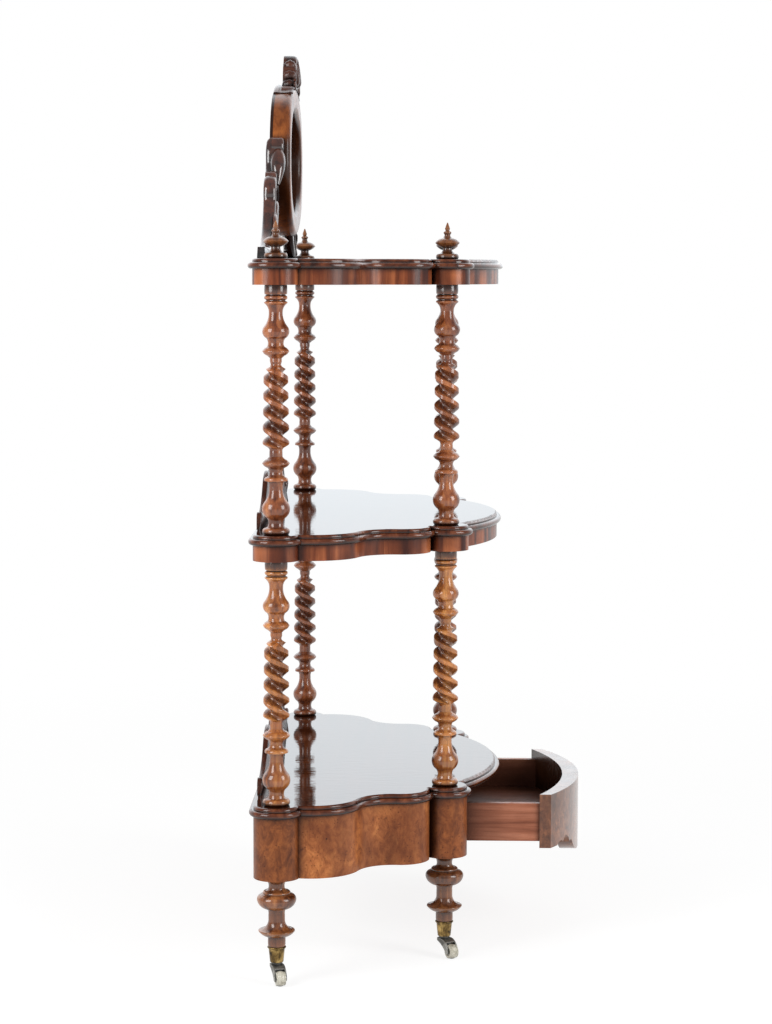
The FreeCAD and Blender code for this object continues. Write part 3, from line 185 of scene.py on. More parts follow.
def toned(tone, share):
    """A colour made darker or lighter by a share."""
    return tuple(share * value for value in tone)


def even(steps):
    """A texture scale that is the same along each axis."""
    return (steps, steps, steps)


def along(axis, across, run):
    """A texture scale that is fine across the grain and long along it."""
    scale = [across] * 3
    scale["XYZ".index(axis)] = run
    return tuple(scale)


# Tone of a wood's hollows (dark polish and painted shade) and of a board's underside (painted shade) as
# shares of its dark tone, and of rubbed edges as one of its light tone
HOLLOW_SHARE = 0.3
UNDER_SHARE = 0.15
RUBBED_SHARE = 1.25


def wood(
    name, axis, tones, coat=0.8, gloss=0.1, dirt_and_shade=0.012, stripe=0.5, patch=0.5, worn=0.0, back=None, ior=1.5
):
    """Polished walnut: long grain, soft stripes, pores, patches of tone, and dark polish and painted shade in
    the hollows.

    The hollows darken with dirt and painted shade up to the size given for them, and stripe is the share of
    the stripes in the figure. Worn lightens the edges, and back, a function of the paint, masks a further
    part that is painted dark, such as painted shade.
    """
    dark, middle, light = tones
    paint = Paint(name)
    stripe_scale = along(axis, 34, 2.2)
    stripes = paint.noise(stripe_scale, detail=3, roughness=0.5, distortion=0.8, offset=(0.7, 1.9, 0.3))
    grain = paint.noise(along(axis, 110, 4), detail=6, roughness=0.62, distortion=0.4)
    figure = paint.math("ADD", paint.times(stripes, stripe), paint.times(grain, 1 - stripe))
    colour = paint.ramp(figure, (0.38, dark), (0.5, middle), (0.62, light))
    patches = paint.noise((9, 9, 14), detail=3, roughness=0.5, distortion=0.4, offset=(2.3, 0.4, 1.1))
    colour = paint.mix(paint.span(patches, 0.42, 0.68, 0, patch), colour, dark)
    shade = toned(dark, HOLLOW_SHARE)
    pore = paint.span(paint.noise(along(axis, 520, 20), detail=3, roughness=0.6), 0.58, 0.68)
    colour = paint.mix(paint.times(pore, 0.3), colour, shade)
    wear = paint.noise(even(28), detail=5, roughness=0.65)
    if worn:
        edges = paint.span(paint.crevice(0.008, inside=True), 0.8, 0.4)
        rubbed = paint.times(edges, paint.span(wear, 0.35, 0.6, 0.2, worn))
        colour = paint.mix(rubbed, colour, toned(light, RUBBED_SHARE))
    # Painted shade and dirt: darker in hollows and corners, from ambient occlusion
    open_air = paint.span(paint.crevice(dirt_and_shade), 0.5, 0.97)
    colour = paint.mix(open_air, shade, colour)
    # Painted shade, and the other dark parts that the given mask marks
    if back:
        colour = paint.mix(back(paint), colour, shade)
    roughness = paint.span(wear, 0.3, 0.75, 0.3, 0.5)
    wave = paint.noise(along(axis, 40, 18), detail=3, roughness=0.5)
    polish = paint.bump(wave, distance=0.0012, strength=0.4)
    height = paint.math("SUBTRACT", paint.times(wave, 1.6), paint.times(pore, 0.12))
    normal = paint.bump(height, distance=0.0012, strength=0.35)
    return paint.finish(colour, roughness, normal, coat, gloss, polish=polish, ior=ior)


def board(name, tones):
    """A polished shelf: a mirror-like top with slight ripples, and softer mouldings, with painted black shade
    underneath.
    """
    dark, middle, light = tones
    paint = Paint(name)
    grain = paint.noise(along("X", 60, 3), detail=5, roughness=0.6, distortion=0.5)
    colour = paint.ramp(grain, (0.3, dark), (0.5, middle), (0.74, light))
    upward = paint.facing("Z")
    top = paint.span(upward, 0.9, 0.99)
    colour = paint.mix(paint.times(top, 0.75), colour, dark)
    shade = toned(dark, UNDER_SHARE)
    # Painted shade: faces that look down are darkened
    under_shade = paint.span(upward, 0.15, -0.5, 0, 0.92)
    colour = paint.mix(under_shade, colour, shade)
    # Painted shade in corners and undercuts, from ambient occlusion
    open_air = paint.span(paint.crevice(0.009), 0.45, 0.92)
    colour = paint.mix(open_air, shade, colour)
    ripple = paint.noise((120, 36, 40), detail=2, roughness=0.45)
    polish = paint.bump(ripple, distance=0.00022, strength=0.5)
    wear = paint.noise(even(60), detail=5, roughness=0.65)
    moulding_gloss = paint.span(wear, 0.3, 0.7, 0.1, 0.2)
    gloss = paint.span(top, 0, 1, moulding_gloss, 0.035)
    roughness = paint.span(wear, 0.3, 0.7, 0.35, 0.5)
    normal = paint.bump(grain, distance=0.0001, strength=0.1)
    paint.finish(colour, roughness, normal, coat=1.0, gloss=gloss, polish=polish)
    paint.shader.inputs["Specular IOR Level"].default_value = 0.0
    return paint.material


def burr(name, tones, coat=0.3, gloss=0.3, back=None):
    """Burr veneer: fine mottled figure, dark clouds, clusters of small dark eyes and a few dents."""
    dark, middle, light = tones
    paint = Paint(name)
    swirl = paint.noise((66, 66, 50), detail=9, roughness=0.74, distortion=0.5)
    colour = paint.ramp(swirl, (0.3, dark), (0.5, middle), (0.7, light))
    cloud = paint.noise((16, 16, 9), detail=5, roughness=0.62, distortion=0.3, offset=(1.7, 0.2, 0.9))
    colour = paint.mix(paint.span(cloud, 0.38, 0.66, 0, 0.85), colour, dark)
    shade = toned(dark, HOLLOW_SHARE)
    eyes = paint.span(paint.cells(even(190)), 0.14, 0.3, 1, 0)
    clusters = paint.span(paint.noise(even(34), detail=2), 0.48, 0.6)
    eye = paint.times(eyes, clusters)
    colour = paint.mix(paint.times(eye, 0.6), colour, shade)
    dents = paint.span(paint.cells((46, 46, 34)), 0.05, 0.085, 1, 0)
    rare = paint.span(paint.noise(even(21), detail=1, roughness=0.5, offset=(3.1, 1.4, 0.6)), 0.55, 0.6)
    dent = paint.times(dents, rare)
    colour = paint.mix(dent, colour, shade)
    # Painted shade and dirt in grooves and corners, such as beside the posts, from ambient occlusion
    open_air = paint.span(paint.crevice(0.028), 0.5, 0.92)
    colour = paint.mix(open_air, shade, colour)
    # Painted shade where the given mask marks it, as on the inside of the drawer front
    if back:
        colour = paint.mix(back(paint), colour, shade)
    wear = paint.noise(even(35), detail=5, roughness=0.65)
    roughness = paint.span(wear, 0.3, 0.75, 0.35, 0.55)
    height = paint.math("SUBTRACT", paint.times(swirl, 0.5), dent)
    normal = paint.bump(height, distance=0.0008, strength=0.3)
    return paint.finish(colour, roughness, normal, coat, gloss)


def brass(name):
    """Aged brass: bright where rubbed, brown and dull elsewhere."""
    dull, brown, bright = (0.025, 0.02, 0.014), (0.2, 0.125, 0.042), (0.54, 0.37, 0.135)
    paint = Paint(name)
    tarnish = paint.noise((70, 70, 50), detail=6, roughness=0.65, distortion=0.6)
    colour = paint.ramp(tarnish, (0.38, dull), (0.5, brown), (0.64, bright))
    grime_and_shade = (0.02, 0.018, 0.012)
    open_air = paint.span(paint.crevice(0.008), 0.4, 0.95)
    colour = paint.mix(open_air, grime_and_shade, colour)
    roughness = paint.span(tarnish, 0.3, 0.7, 0.5, 0.24)
    scratches = paint.noise((260, 260, 900), detail=3)
    normal = paint.bump(scratches, distance=0.0003, strength=0.2)
    return paint.finish(colour, roughness, normal, metallic=0.9)


def iron(name):
    """Dull grey iron, dark in its corners and rubbed bright on its edges."""
    dark, grey, rusty = (0.07, 0.068, 0.06), (0.17, 0.165, 0.15), (0.26, 0.23, 0.18)
    paint = Paint(name)
    rust = paint.noise(even(110), detail=6, roughness=0.65, distortion=0.4)
    colour = paint.ramp(rust, (0.35, dark), (0.6, grey), (0.75, rusty))
    rubbed = (0.5, 0.49, 0.45)
    edges = paint.span(paint.crevice(0.003, inside=True), 0.8, 0.4, 0, 0.7)
    colour = paint.mix(edges, colour, rubbed)
    grime_and_shade = (0.012, 0.012, 0.011)
    open_air = paint.span(paint.crevice(0.008), 0.3, 0.9)
    colour = paint.mix(open_air, grime_and_shade, colour)
    roughness = paint.span(rust, 0.3, 0.7, 0.32, 0.6)
    normal = paint.bump(rust, distance=0.0004, strength=0.4)
    return paint.finish(colour, roughness, normal, metallic=0.6)


def ceramic(name):
    """Cream glazed ceramic with grey scuffs and fine crazing."""
    scuffed, cream, white = (0.3, 0.28, 0.22), (0.64, 0.61, 0.5), (0.8, 0.77, 0.67)
    paint = Paint(name)
    stain = paint.noise(even(120), detail=5, roughness=0.6, distortion=0.5)
    colour = paint.ramp(stain, (0.3, scuffed), (0.5, cream), (0.75, white))
    crack = (0.16, 0.14, 0.1)
    between = paint.span(paint.cells(even(330), feature="DISTANCE_TO_EDGE"), 0, 0.05, 0.6, 1)
    colour = paint.mix(between, crack, colour)
    # Painted shade: darker in corners and beside the fork, from ambient occlusion
    grime_and_shade = (0.05, 0.045, 0.035)
    open_air = paint.span(paint.crevice(0.005), 0.35, 0.85)
    colour = paint.mix(open_air, grime_and_shade, colour)
    roughness = paint.span(stain, 0.3, 0.7, 0.4, 0.18)
    normal = paint.bump(stain, distance=0.0003, strength=0.2)
    return paint.finish(colour, roughness, normal, coat=0.5, gloss=0.08)


def mirror(name):
    """Old silvered glass: a cool bright reflection with dim spots and a worn rim."""
    silver, spotted, rubbed = (0.82, 0.85, 0.86), (0.3, 0.28, 0.25), (0.35, 0.33, 0.3)
    paint = Paint(name)
    spots = paint.span(paint.noise(even(85), detail=6, roughness=0.7), 0.6, 0.72)
    colour = paint.mix(spots, silver, spotted)
    open_glass = paint.span(paint.crevice(0.02), 0.5, 0.95)
    colour = paint.mix(open_glass, rubbed, colour)
    roughness = paint.span(spots, 0, 1, 0.03, 0.22)
    normal = paint.bump(paint.noise(even(6), detail=2), distance=0.0006, strength=0.15)
    return paint.finish(colour, roughness, normal, coat=0.5, gloss=0.02, metallic=1.0)


# Tones of the woods from dark to light, in linear light
COLUMN = ((0.11, 0.025, 0.006), (0.46, 0.142, 0.034), (0.78, 0.33, 0.092))
UPPER = ((0.085, 0.018, 0.006), (0.31, 0.082, 0.024), (0.56, 0.195, 0.065))
# Painted shade: the far columns' tones, a darker copy for the light that falls off away from the lamps
FAR_SHADED = ((0.09, 0.02, 0.007), (0.29, 0.082, 0.028), (0.46, 0.16, 0.06))
FOOT = ((0.07, 0.018, 0.006), (0.28, 0.09, 0.028), (0.46, 0.18, 0.06))
BOARD = ((0.03, 0.007, 0.003), (0.12, 0.03, 0.011), (0.25, 0.075, 0.028))
VENEER = ((0.05, 0.009, 0.004), (0.22, 0.052, 0.017), (0.45, 0.135, 0.048))
DRAWER = ((0.05, 0.015, 0.006), (0.25, 0.085, 0.033), (0.48, 0.2, 0.085))
BURR = ((0.145, 0.035, 0.01), (0.46, 0.146, 0.042), (0.7, 0.262, 0.078))
POST = ((0.09, 0.021, 0.006), (0.3, 0.085, 0.022), (0.5, 0.16, 0.042))
CARVED = ((0.014, 0.005, 0.004), (0.05, 0.015, 0.009), (0.13, 0.04, 0.02))
SCROLL = ((0.02, 0.005, 0.003), (0.085, 0.02, 0.009), (0.17, 0.046, 0.02))
FRAME = ((0.09, 0.021, 0.005), (0.25, 0.066, 0.013), (0.4, 0.117, 0.025))
BACKING = ((0.1, 0.038, 0.018), (0.2, 0.085, 0.042), (0.3, 0.145, 0.078))
LINING = ((0.21, 0.066, 0.035), (0.46, 0.165, 0.092), (0.63, 0.26, 0.155))
DARK_FOOT = [toned(tone, 0.72) for tone in FOOT]
REAR_POST = [toned(tone, 0.78) for tone in POST]

# The mirror frame's black parts, some of them painted shade: depth of its back edge, and the share of its
# height up to the scrolls' top
BLACK_EDGE = 0.005
SCROLL_SHARE = 0.62
# Half the width over which each of them fades
EDGE_FADE = 0.0005
SCROLL_FADE = 0.01


def frame_stain_and_shade(paint):
    """The black parts of the mirror frame: its back edge, its sides behind the scrolls (stain and painted
    shade) and its inner wall (a painted dark reflection).
    """
    low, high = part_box("mirror_frame")
    edge_start = high.y - BLACK_EDGE
    edge = paint.span(paint.place("Y"), edge_start - EDGE_FADE, edge_start + EDGE_FADE)
    # Stain and painted shade: the outer sides, below the scrolls' top
    sides = paint.span(paint.math("ABSOLUTE", paint.facing("X"), 0), 0.3, 0.55, 0, 0.88)
    scroll_top = low.z + SCROLL_SHARE * (high.z - low.z)
    lower = paint.span(paint.place("Z"), scroll_top + SCROLL_FADE, scroll_top - SCROLL_FADE)
    # Painted reflection: the inner wall is black, for the dark band that the glass shows
    height = paint.math("SUBTRACT", paint.place("Z"), 0.5 * (low.z + high.z))
    sideways = paint.times(paint.facing("X"), paint.place("X"))
    outward = paint.math("ADD", sideways, paint.times(paint.facing("Z"), height))
    inner = paint.span(outward, -0.03, -0.09, 0, 0.9)
    stain = paint.math("MAXIMUM", edge, paint.times(sides, lower))
    return paint.math("MAXIMUM", stain, inner)


# A near column's painted shadow under the frieze, on its head: where it starts and where it is full
HEAD_START = 0.019
HEAD_FULL = 0.009


def column_ends(column, frieze):
    """Makes a mask of a column's two ends: a foot that is darker towards the bottom, and a painted shadow
    that blackens the head under its frieze.
    """
    low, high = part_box(column)
    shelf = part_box(frieze)[0].z

    def mask(paint):
        level = paint.place("Z")
        foot = paint.span(level, low.z, 0.4 * low.z + 0.6 * high.z, 0.14, 0)
        # Painted shadow of the frieze on the column's head
        head_shadow = paint.span(level, shelf - HEAD_START, shelf - HEAD_FULL, 0, 0.7)
        return paint.math("MAXIMUM", foot, head_shadow)

    return mask


def underside_shade(paint):
    """The undersides of a carving's rolls, darkened with painted shade."""
    return paint.span(paint.facing("Z"), 0.4, -0.2, 0, 0.9)


def inner_face_shade(paint):
    """The inside of the drawer front, darkened with painted shade."""
    return paint.span(paint.facing("Y"), 0.15, 0.4, 0, 0.9)


# Settings of the turned pieces' wood, and of the unpolished wood of the drawer and the backboard
TURNED = {"coat": 0.5, "gloss": 0.15, "dirt_and_shade": 0.016, "stripe": 0.45, "patch": 0.8, "worn": 0.9, "ior": 2.0}
TURNED_FAR = {**TURNED, "patch": 0.75, "worn": 0.8}
TURNED_FOOT = {**TURNED, "gloss": 0.16, "stripe": 0.5, "patch": 0.6, "worn": 0.6}
TURNED_DARK = {**TURNED_FOOT, "worn": 0.5}
UNPOLISHED = {"coat": 0.1, "gloss": 0.4}

lower_ends = column_ends("lower_column_front_left", "middle_frieze")
upper_ends = column_ends("upper_column_front_left", "top_frieze")
turned = wood("turned_walnut", "Z", COLUMN, **TURNED, back=lower_ends)
upper = wood("turned_walnut_red", "Z", UPPER, **TURNED, back=upper_ends)
# The far columns' wood, darkened with painted shade
shaded_far = wood("turned_walnut_far_shaded", "Z", FAR_SHADED, **TURNED_FAR)
feet = wood("turned_walnut_brown", "Z", FOOT, **TURNED_FOOT)
dark_feet = wood("turned_walnut_dark", "Z", DARK_FOOT, **TURNED_DARK)
boards = board("polished_walnut", BOARD)
veneer = wood("walnut_veneer", "Z", VENEER, coat=0.35, gloss=0.25, dirt_and_shade=0.01, stripe=0.85, patch=0.6)
drawer_face = burr("drawer_veneer", DRAWER, coat=1.0, gloss=0.2, back=inner_face_shade)
carved = wood("carved_walnut", "X", CARVED, coat=0.6, gloss=0.22, dirt_and_shade=0.014, worn=0.4)
scroll = wood("scroll_walnut", "X", SCROLL, coat=1.0, dirt_and_shade=0.035, worn=0.3, back=underside_shade, ior=1.8)
framed = wood("frame_walnut", "Z", FRAME, coat=0.5, gloss=0.2, dirt_and_shade=0.02, worn=0.4, back=frame_stain_and_shade)
# The drawer's lining is darkened with painted shade from a wide ambient occlusion, darkest inside the drawer
lining = wood("drawer_lining", "Y", LINING, **UNPOLISHED, dirt_and_shade=0.15)
lining_across = wood("drawer_lining_across", "X", LINING, **UNPOLISHED, dirt_and_shade=0.15)
backing = wood("backing_board", "X", BACKING, **UNPOLISHED, dirt_and_shade=0.02)
apron = burr("burr_walnut", BURR)
posts = burr("burr_walnut_brown", POST)
rear_posts = burr("burr_walnut_dark", REAR_POST)

# The material of each of the record's slots, and of the nodes that have one of their own
FINISHES = {
    "polished_walnut": boards,
    "walnut_veneer": veneer,
    "burr_walnut": apron,
    "turned_walnut": turned,
    "carved_walnut": carved,
    "drawer_lining": lining,
    "mirror_glass": mirror("mirror_glass"),
    "brass": brass("brass"),
    "dark_iron": iron("dark_iron"),
    "ceramic": ceramic("ceramic"),
}
OWN = {
    "drawer_front": drawer_face,
    "drawer_back": lining_across,
    "mirror_frame": framed,
    "mirror_backboard": backing,
}
for corner in CORNERS:
    OWN[f"foot_{corner}"] = dark_feet if "front" in corner else feet
    OWN[f"corner_post_{corner}"] = rear_posts if "rear" in corner else posts
    OWN[f"finial_{corner}"] = dark_feet
    # The right-hand columns take the copy darkened with painted shade
    OWN[f"upper_column_{corner}"] = shaded_far if "right" in corner else upper
    if "right" in corner:
        OWN[f"lower_column_{corner}"] = shaded_far

for row in frame["record"]["subparts"]:
    name = row["node"]
    material = OWN.get(name, FINISHES[row["material_slot"]])
    for material_slot in NODES[name].material_slots:
        material_slot.material = material


# Carving: the crest, the brackets and the galleries are flat solids, and these are their carved surfaces

# Angle over which an edge stays sharp, on a carving and on the reliefs that lie on it
CARVING_CREASE = 50
RELIEF_CREASE = 60


def add_mesh(name, shape, material, crease):
    """Turns a bmesh into a piece with smooth faces and sharp creases."""
    bmesh.ops.recalc_face_normals(shape, faces=shape.faces)
    mesh = bpy.data.meshes.new(name)
    shape.to_mesh(mesh)
    shape.free()
    for polygon in mesh.polygons:
        polygon.use_smooth = True
    mesh.set_sharp_from_angle(angle=radians(crease))
    mesh.materials.append(material)
    piece = bpy.data.objects.new(name, mesh)
    bpy.context.scene.collection.objects.link(piece)
    return piece


# Distances under which two vertices are one, and under which a vertex lies on the front
SAME_PLACE = 1e-6
ON_FRONT = 1e-5


def front_outline(node):
    """The outline of a CAD node's flat front, as points (x, z) in order."""
    shape = bmesh.new()
    shape.from_mesh(NODES[node].data)
    bmesh.ops.remove_doubles(shape, verts=shape.verts, dist=SAME_PLACE)
    limit = min(vertex.co.y for vertex in shape.verts) + ON_FRONT
    behind = [face for face in shape.faces if any(vertex.co.y > limit for vertex in face.verts)]
    bmesh.ops.delete(shape, geom=behind, context="FACES")
    first = next(edge for edge in shape.edges if edge.is_boundary)
    loop = list(first.verts)
    while loop[-1] is not loop[0]:
        here, before = loop[-1], loop[-2]
        ends = [edge.other_vert(here) for edge in here.link_edges if edge.is_boundary]
        loop.append(next(vertex for vertex in ends if vertex is not before))
    points = [Vector((vertex.co.x, vertex.co.z)) for vertex in loop[:-1]]
    shape.free()
    return points


def rim_distance(point, outline):
    """How far a point lies from the nearest edge of an outline."""
    nearest = 1.0
    for first, second in zip(outline, outline[1:] + outline[:1]):
        foot, along_edge = intersect_point_line(point, first, second)
        foot = first if along_edge < 0 else second if along_edge > 1 else foot
        nearest = min(nearest, (point - foot).length)
    return nearest


def is_inside(point, outline):
    """Whether a point lies inside an outline, by counting the edges to its right."""
    crossings = 0
    for first, second in zip(outline, outline[1:] + outline[:1]):
        if (first.y > point.y) != (second.y > point.y):
            slant = (second.x - first.x) / (second.y - first.y)
            crossings += first.x + (point.y - first.y) * slant > point.x
    return crossings % 2 == 1


def depth_behind(profile, distance):
    """The depth behind a face at a distance from the rim, read from a carving's profile."""
    for (near, shallow), (far_off, deep) in zip(profile, profile[1:]):
        if distance <= far_off:
            return shallow + (deep - shallow) * (distance - near) / (far_off - near)
    return profile[-1][1]


# Height of a carving's square foot
FOOT_HEIGHT = 0.016
# Profiles of the carvings: distance from the rim, and depth behind the face
FLAT = ((0, 0), (1, 0))
ROUND = ((0, 0.0085), (0.0005, 0.0052), (0.0015, 0.0028), (0.003, 0.0011), (0.005, 0.0003), (0.007, 0))
ROLLED = ROUND + ((0.0088, 0.0007), (0.01, 0.0026), (0.0116, 0.0036), (0.0142, 0.0024))
THIN = ((0, 0.003), (0.0006, 0.0014), (0.0018, 0.0004), (0.0034, 0), (0.0046, 0.0006), (0.0056, 0.0016))
# How far from the rim a point is tried, to find the rim's inner side
PROBE = 0.0002
# Share of its distance from its own rim point that a point keeps from every other
RIM_SHARE = 0.85
# Settings of the triangulation: only what the rim encloses, and the distance under which points are one
ENCLOSED = 1
TRIANGLE_GAP = 1e-7


def carving_points(outline, profile, pitch, low, high):
    """The points inside an outline that a carving's faces run through: rings along the rim, and a grid."""
    count = len(outline)
    spots = []
    for index, here in enumerate(outline):
        ahead = (outline[(index + 1) % count] - outline[index - 1]).normalized()
        normal = Vector((-ahead.y, ahead.x))
        if not is_inside(here + normal * PROBE, outline):
            normal = -normal
        spots += [(here + normal * reach, RIM_SHARE * reach) for reach, _ in profile[1:]]
    field = profile[-1][0] + 0.5 * pitch
    for i in range(int((high.x - low.x) / pitch)):
        for j in range(int((high.z - low.z) / pitch)):
            spots.append((Vector((low.x + (i + 0.5) * pitch, low.z + (j + 0.5) * pitch)), field))
    inner = []
    for spot, least in spots:
        if is_inside(spot, outline) and rim_distance(spot, outline) >= least:
            inner.append(spot)
    return inner


def carve(node, profile, pitch, material, back=None):
    """A carving with a rolled rim in the place of a flat node: its front follows the distance from the rim.

    The back follows a profile of its own above the carving's foot, or is flat.
    """
    low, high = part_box(node)
    outline = front_outline(node)
    count = len(outline)
    inner = carving_points(outline, profile, pitch, low, high)
    rim = [(index, (index + 1) % count) for index in range(count)]
    fore_side = (outline + inner, low.y, 1, profile)
    rear_side = (outline + inner if back else outline, high.y, -1, back or FLAT)
    shape = bmesh.new()
    layers = []
    for points, level, way, relief in (fore_side, rear_side):
        flat, _, faces, _, _, _ = delaunay_2d_cdt(points, rim, [], ENCLOSED, TRIANGLE_GAP)
        layer = []
        for spot in flat:
            depth = depth_behind(relief, rim_distance(spot, outline))
            if way < 0:
                depth *= min(1, max(0, (spot.y - low.z - FOOT_HEIGHT) / FOOT_HEIGHT))
            layer.append(shape.verts.new((spot.x, level + way * depth, spot.y)))
        for face in faces:
            shape.faces.new([layer[corner] for corner in face])
        layers.append(layer[:count])
    for first, second in rim:
        shape.faces.new((layers[0][first], layers[0][second], layers[1][second], layers[1][first]))
    piece = add_mesh(f"{node}_carving", shape, material, CARVING_CREASE)
    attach(piece, "carcass")
    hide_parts(node)


# How far a leaf's underside sinks into the face that it lies on
SUNK = 0.0015


def add_petal(shape, foot, turn, length, width, height, front):
    """A raised leaf with a crease along its middle, lying on a front face.

    It runs from foot to tip with u, from 0 to 1, and from side to side with v, from -1 to 1.
    """
    rows, columns = 12, 8
    across = (cos(turn), -sin(turn))
    ahead = (sin(turn), cos(turn))
    layers = []
    for lift in (0, 1):
        layer = []
        for i in range(rows + 1):
            u = i / rows
            half = width * (0.12 + 0.88 * sin(pi * u**0.8) ** 0.8) if i < rows else width * 0.05
            for j in range(columns + 1):
                v = 2 * j / columns - 1
                crown = (1 - v * v) * (0.3 + 0.7 * sin(pi * u**0.7))
                crease = 0.45 * exp(-((v / 0.22) ** 2))
                x = foot[0] + across[0] * v * half + ahead[0] * u * length
                z = foot[1] + across[1] * v * half + ahead[1] * u * length
                y = front - lift * height * crown * (1 - crease) + SUNK * (1 - lift)
                layer.append(shape.verts.new((x, y, z)))
        layers.append(layer)
    step = columns + 1
    for i in range(rows):
        for j in range(columns):
            corners = (i * step + j, i * step + j + 1, (i + 1) * step + j + 1, (i + 1) * step + j)
            for layer in layers:
                shape.faces.new([layer[corner] for corner in corners])
    rim = list(range(step))
    rim += [i * step + columns for i in range(1, rows + 1)]
    rim += [rows * step + j for j in range(columns - 1, -1, -1)]
    rim += [i * step for i in range(rows - 1, 0, -1)]
    for a, b in zip(rim, rim[1:] + rim[:1]):
        shape.faces.new((layers[0][a], layers[0][b], layers[1][b], layers[1][a]))


def close_tube(shape, rings):
    """Joins rings of vertices into a tube with closed ends."""
    count = len(rings[0])
    for first, second in zip(rings, rings[1:]):
        for k in range(count):
            following = (k + 1) % count
            shape.faces.new((first[k], first[following], second[following], second[k]))
    shape.faces.new(rings[0])
    shape.faces.new(list(reversed(rings[-1])))


def add_strand(shape, path, radii, sides):
    """A round tube along a path in an upright plane, with a radius at each of its points."""
    rings = []
    for index, (x, y, z) in enumerate(path):
        before = Vector(path[max(index - 1, 0)])
        after = Vector(path[min(index + 1, len(path) - 1)])
        ahead = (after - before).normalized()
        side = Vector((-ahead.z, 0, ahead.x))
        ring = []
        for k in range(sides):
            angle = 2 * pi * k / sides
            reach = side * (radii[index] * cos(angle))
            ring.append(shape.verts.new((x + reach.x, y + radii[index] * sin(angle), z + reach.z)))
        rings.append(ring)
    close_tube(shape, rings)


def add_volute(shape, centre, front, radius, hand, start):
    """A scroll that winds in to a round eye."""
    turns, thickness, eye_share = 1.6, 0.28, 0.24
    count = 44
    path = []
    radii = []
    for index in range(count + 1):
        t = index / count
        angle = start + hand * 2 * pi * turns * t
        reach = radius * (1 - 0.82 * t**0.85)
        path.append((centre[0] + reach * cos(angle), front, centre[1] + reach * sin(angle)))
        radii.append(radius * thickness * (1 - 0.5 * t))
    add_strand(shape, path, radii, sides=10)
    eye = bmesh.ops.create_uvsphere(shape, u_segments=14, v_segments=8, radius=radius * eye_share)["verts"]
    for vertex in eye:
        vertex.co = Vector((centre[0], front, centre[1])) + vertex.co


def add_boss(shape, centre, radius, front, back):
    """The rolled end of a scroll: a drum that runs from back to front, with a sunk ring round its eye."""
    profile = ((back, 1), (front + 0.004, 1), (front + 0.0015, 0.93), (front, 0.75), (front + 0.0015, 0.58))
    profile += ((front + 0.0025, 0.45), (front + 0.0012, 0.32), (front - 0.0006, 0.18))
    sides = 28
    turns = [2 * pi * k / sides for k in range(sides)]
    rings = []
    for y, share in profile:
        reach = share * radius
        spots = [(centre[0] + reach * cos(a), y, centre[1] + reach * sin(a)) for a in turns]
        rings.append([shape.verts.new(spot) for spot in spots])
    close_tube(shape, rings)


def add_lobe(shape, centre, reach, turn):
    """A plump leaf lobe with two grooves, standing on the edge of a carving."""
    depth, width = 0.16, 0.16
    made = bmesh.ops.create_uvsphere(shape, u_segments=20, v_segments=14, radius=1)["verts"]
    for vertex in made:
        x, y, z = vertex.co
        groove = 1 - depth * exp(-(((y - 0.35) / width) ** 2)) - depth * exp(-(((y + 0.4) / width) ** 2))
        x, y, z = x * reach[0] * groove, y * reach[1], z * reach[2] * groove
        place = (x * cos(turn) + z * sin(turn), y, z * cos(turn) - x * sin(turn))
        vertex.co = Vector(centre) + Vector(place)


def add_saddle(shape, half_width, radius, level, fore, rear):
    """A moulded band bent over the top of the oval, with rolled edges and rounded ends."""
    section = ((0, -0.001), (0, 0.0025), (0.05, 0.0042), (0.15, 0.005), (0.26, 0.004), (0.36, 0.003))
    section += tuple((1 - across, rise) for across, rise in reversed(section))
    steps = 40
    rings = []
    for index in range(steps + 1):
        u = 2 * index / steps - 1
        angle = u * half_width / radius
        swell = 0.55 + 0.45 * (1 - u**8)
        ring = []
        for across, rise in section:
            reach = radius + rise * swell
            y = fore + (rear - fore) * across
            ring.append(shape.verts.new((reach * sin(angle), y, level + reach * cos(angle))))
        rings.append(ring)
    close_tube(shape, rings)


def add_relief(name, shape, material):
    piece = add_mesh(name, shape, material, RELIEF_CREASE)
    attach(piece, "carcass")


# Distances between the points inside a carving
FINE_PITCH = 0.004
COARSE_PITCH = 0.012
carve("mirror_crest", ROLLED, FINE_PITCH, carved)
for side in ("left", "right"):
    carve(f"mirror_bracket_{side}", ROLLED, FINE_PITCH, scroll, ROUND)
for tier in ("middle", "bottom"):
    carve(f"{tier}_gallery", THIN, COARSE_PITCH, carved)

# How far behind the front of its carving a relief lies
RELIEF_INSET = 0.0015
# Heights of the reliefs are given over the top board, and sideways places from the middle of its width
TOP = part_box("top_board")[1].z
FRAME_LOW, FRAME_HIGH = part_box("mirror_frame")
CREST_LOW, CREST_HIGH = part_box("mirror_crest")
BRACKET_LOW, BRACKET_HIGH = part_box("mirror_bracket_left")

# The arc over the top of the mirror's oval, and the band on it
ARC_LEVEL = TOP - 0.0065
ARC_RADIUS = 0.2985
BAND_HALF_WIDTH = 0.098
BAND_INSET = 0.0005
# The crest's fan of leaves, from the middle to each side: turn in degrees, shift and shortening by the step
FAN_STEPS = range(-2, 3)
FAN_TURN = 20
FAN_SHIFT = 0.007
FAN_FOOT = 0.294
FAN_LENGTH = 0.046
FAN_SHORTER = 0.006
FAN_WIDTH = 0.0085
FAN_RELIEF = 0.0075
# The crest's volutes: place, height and radius
VOLUTE_X = 0.06
VOLUTE_Z = 0.292
VOLUTE_RADIUS = 0.009
# The lobes on the crest's edge: place, height, half depth and lean, and their half width and half height
LOBES = ((0.052, 0.293, 0.0125, 0.5), (0.041, 0.309, 0.0115, 0.35), (0.029, 0.327, 0.0095, 0.25))
LOBE_WIDTH = 0.0085
LOBE_HEIGHT = 0.0105

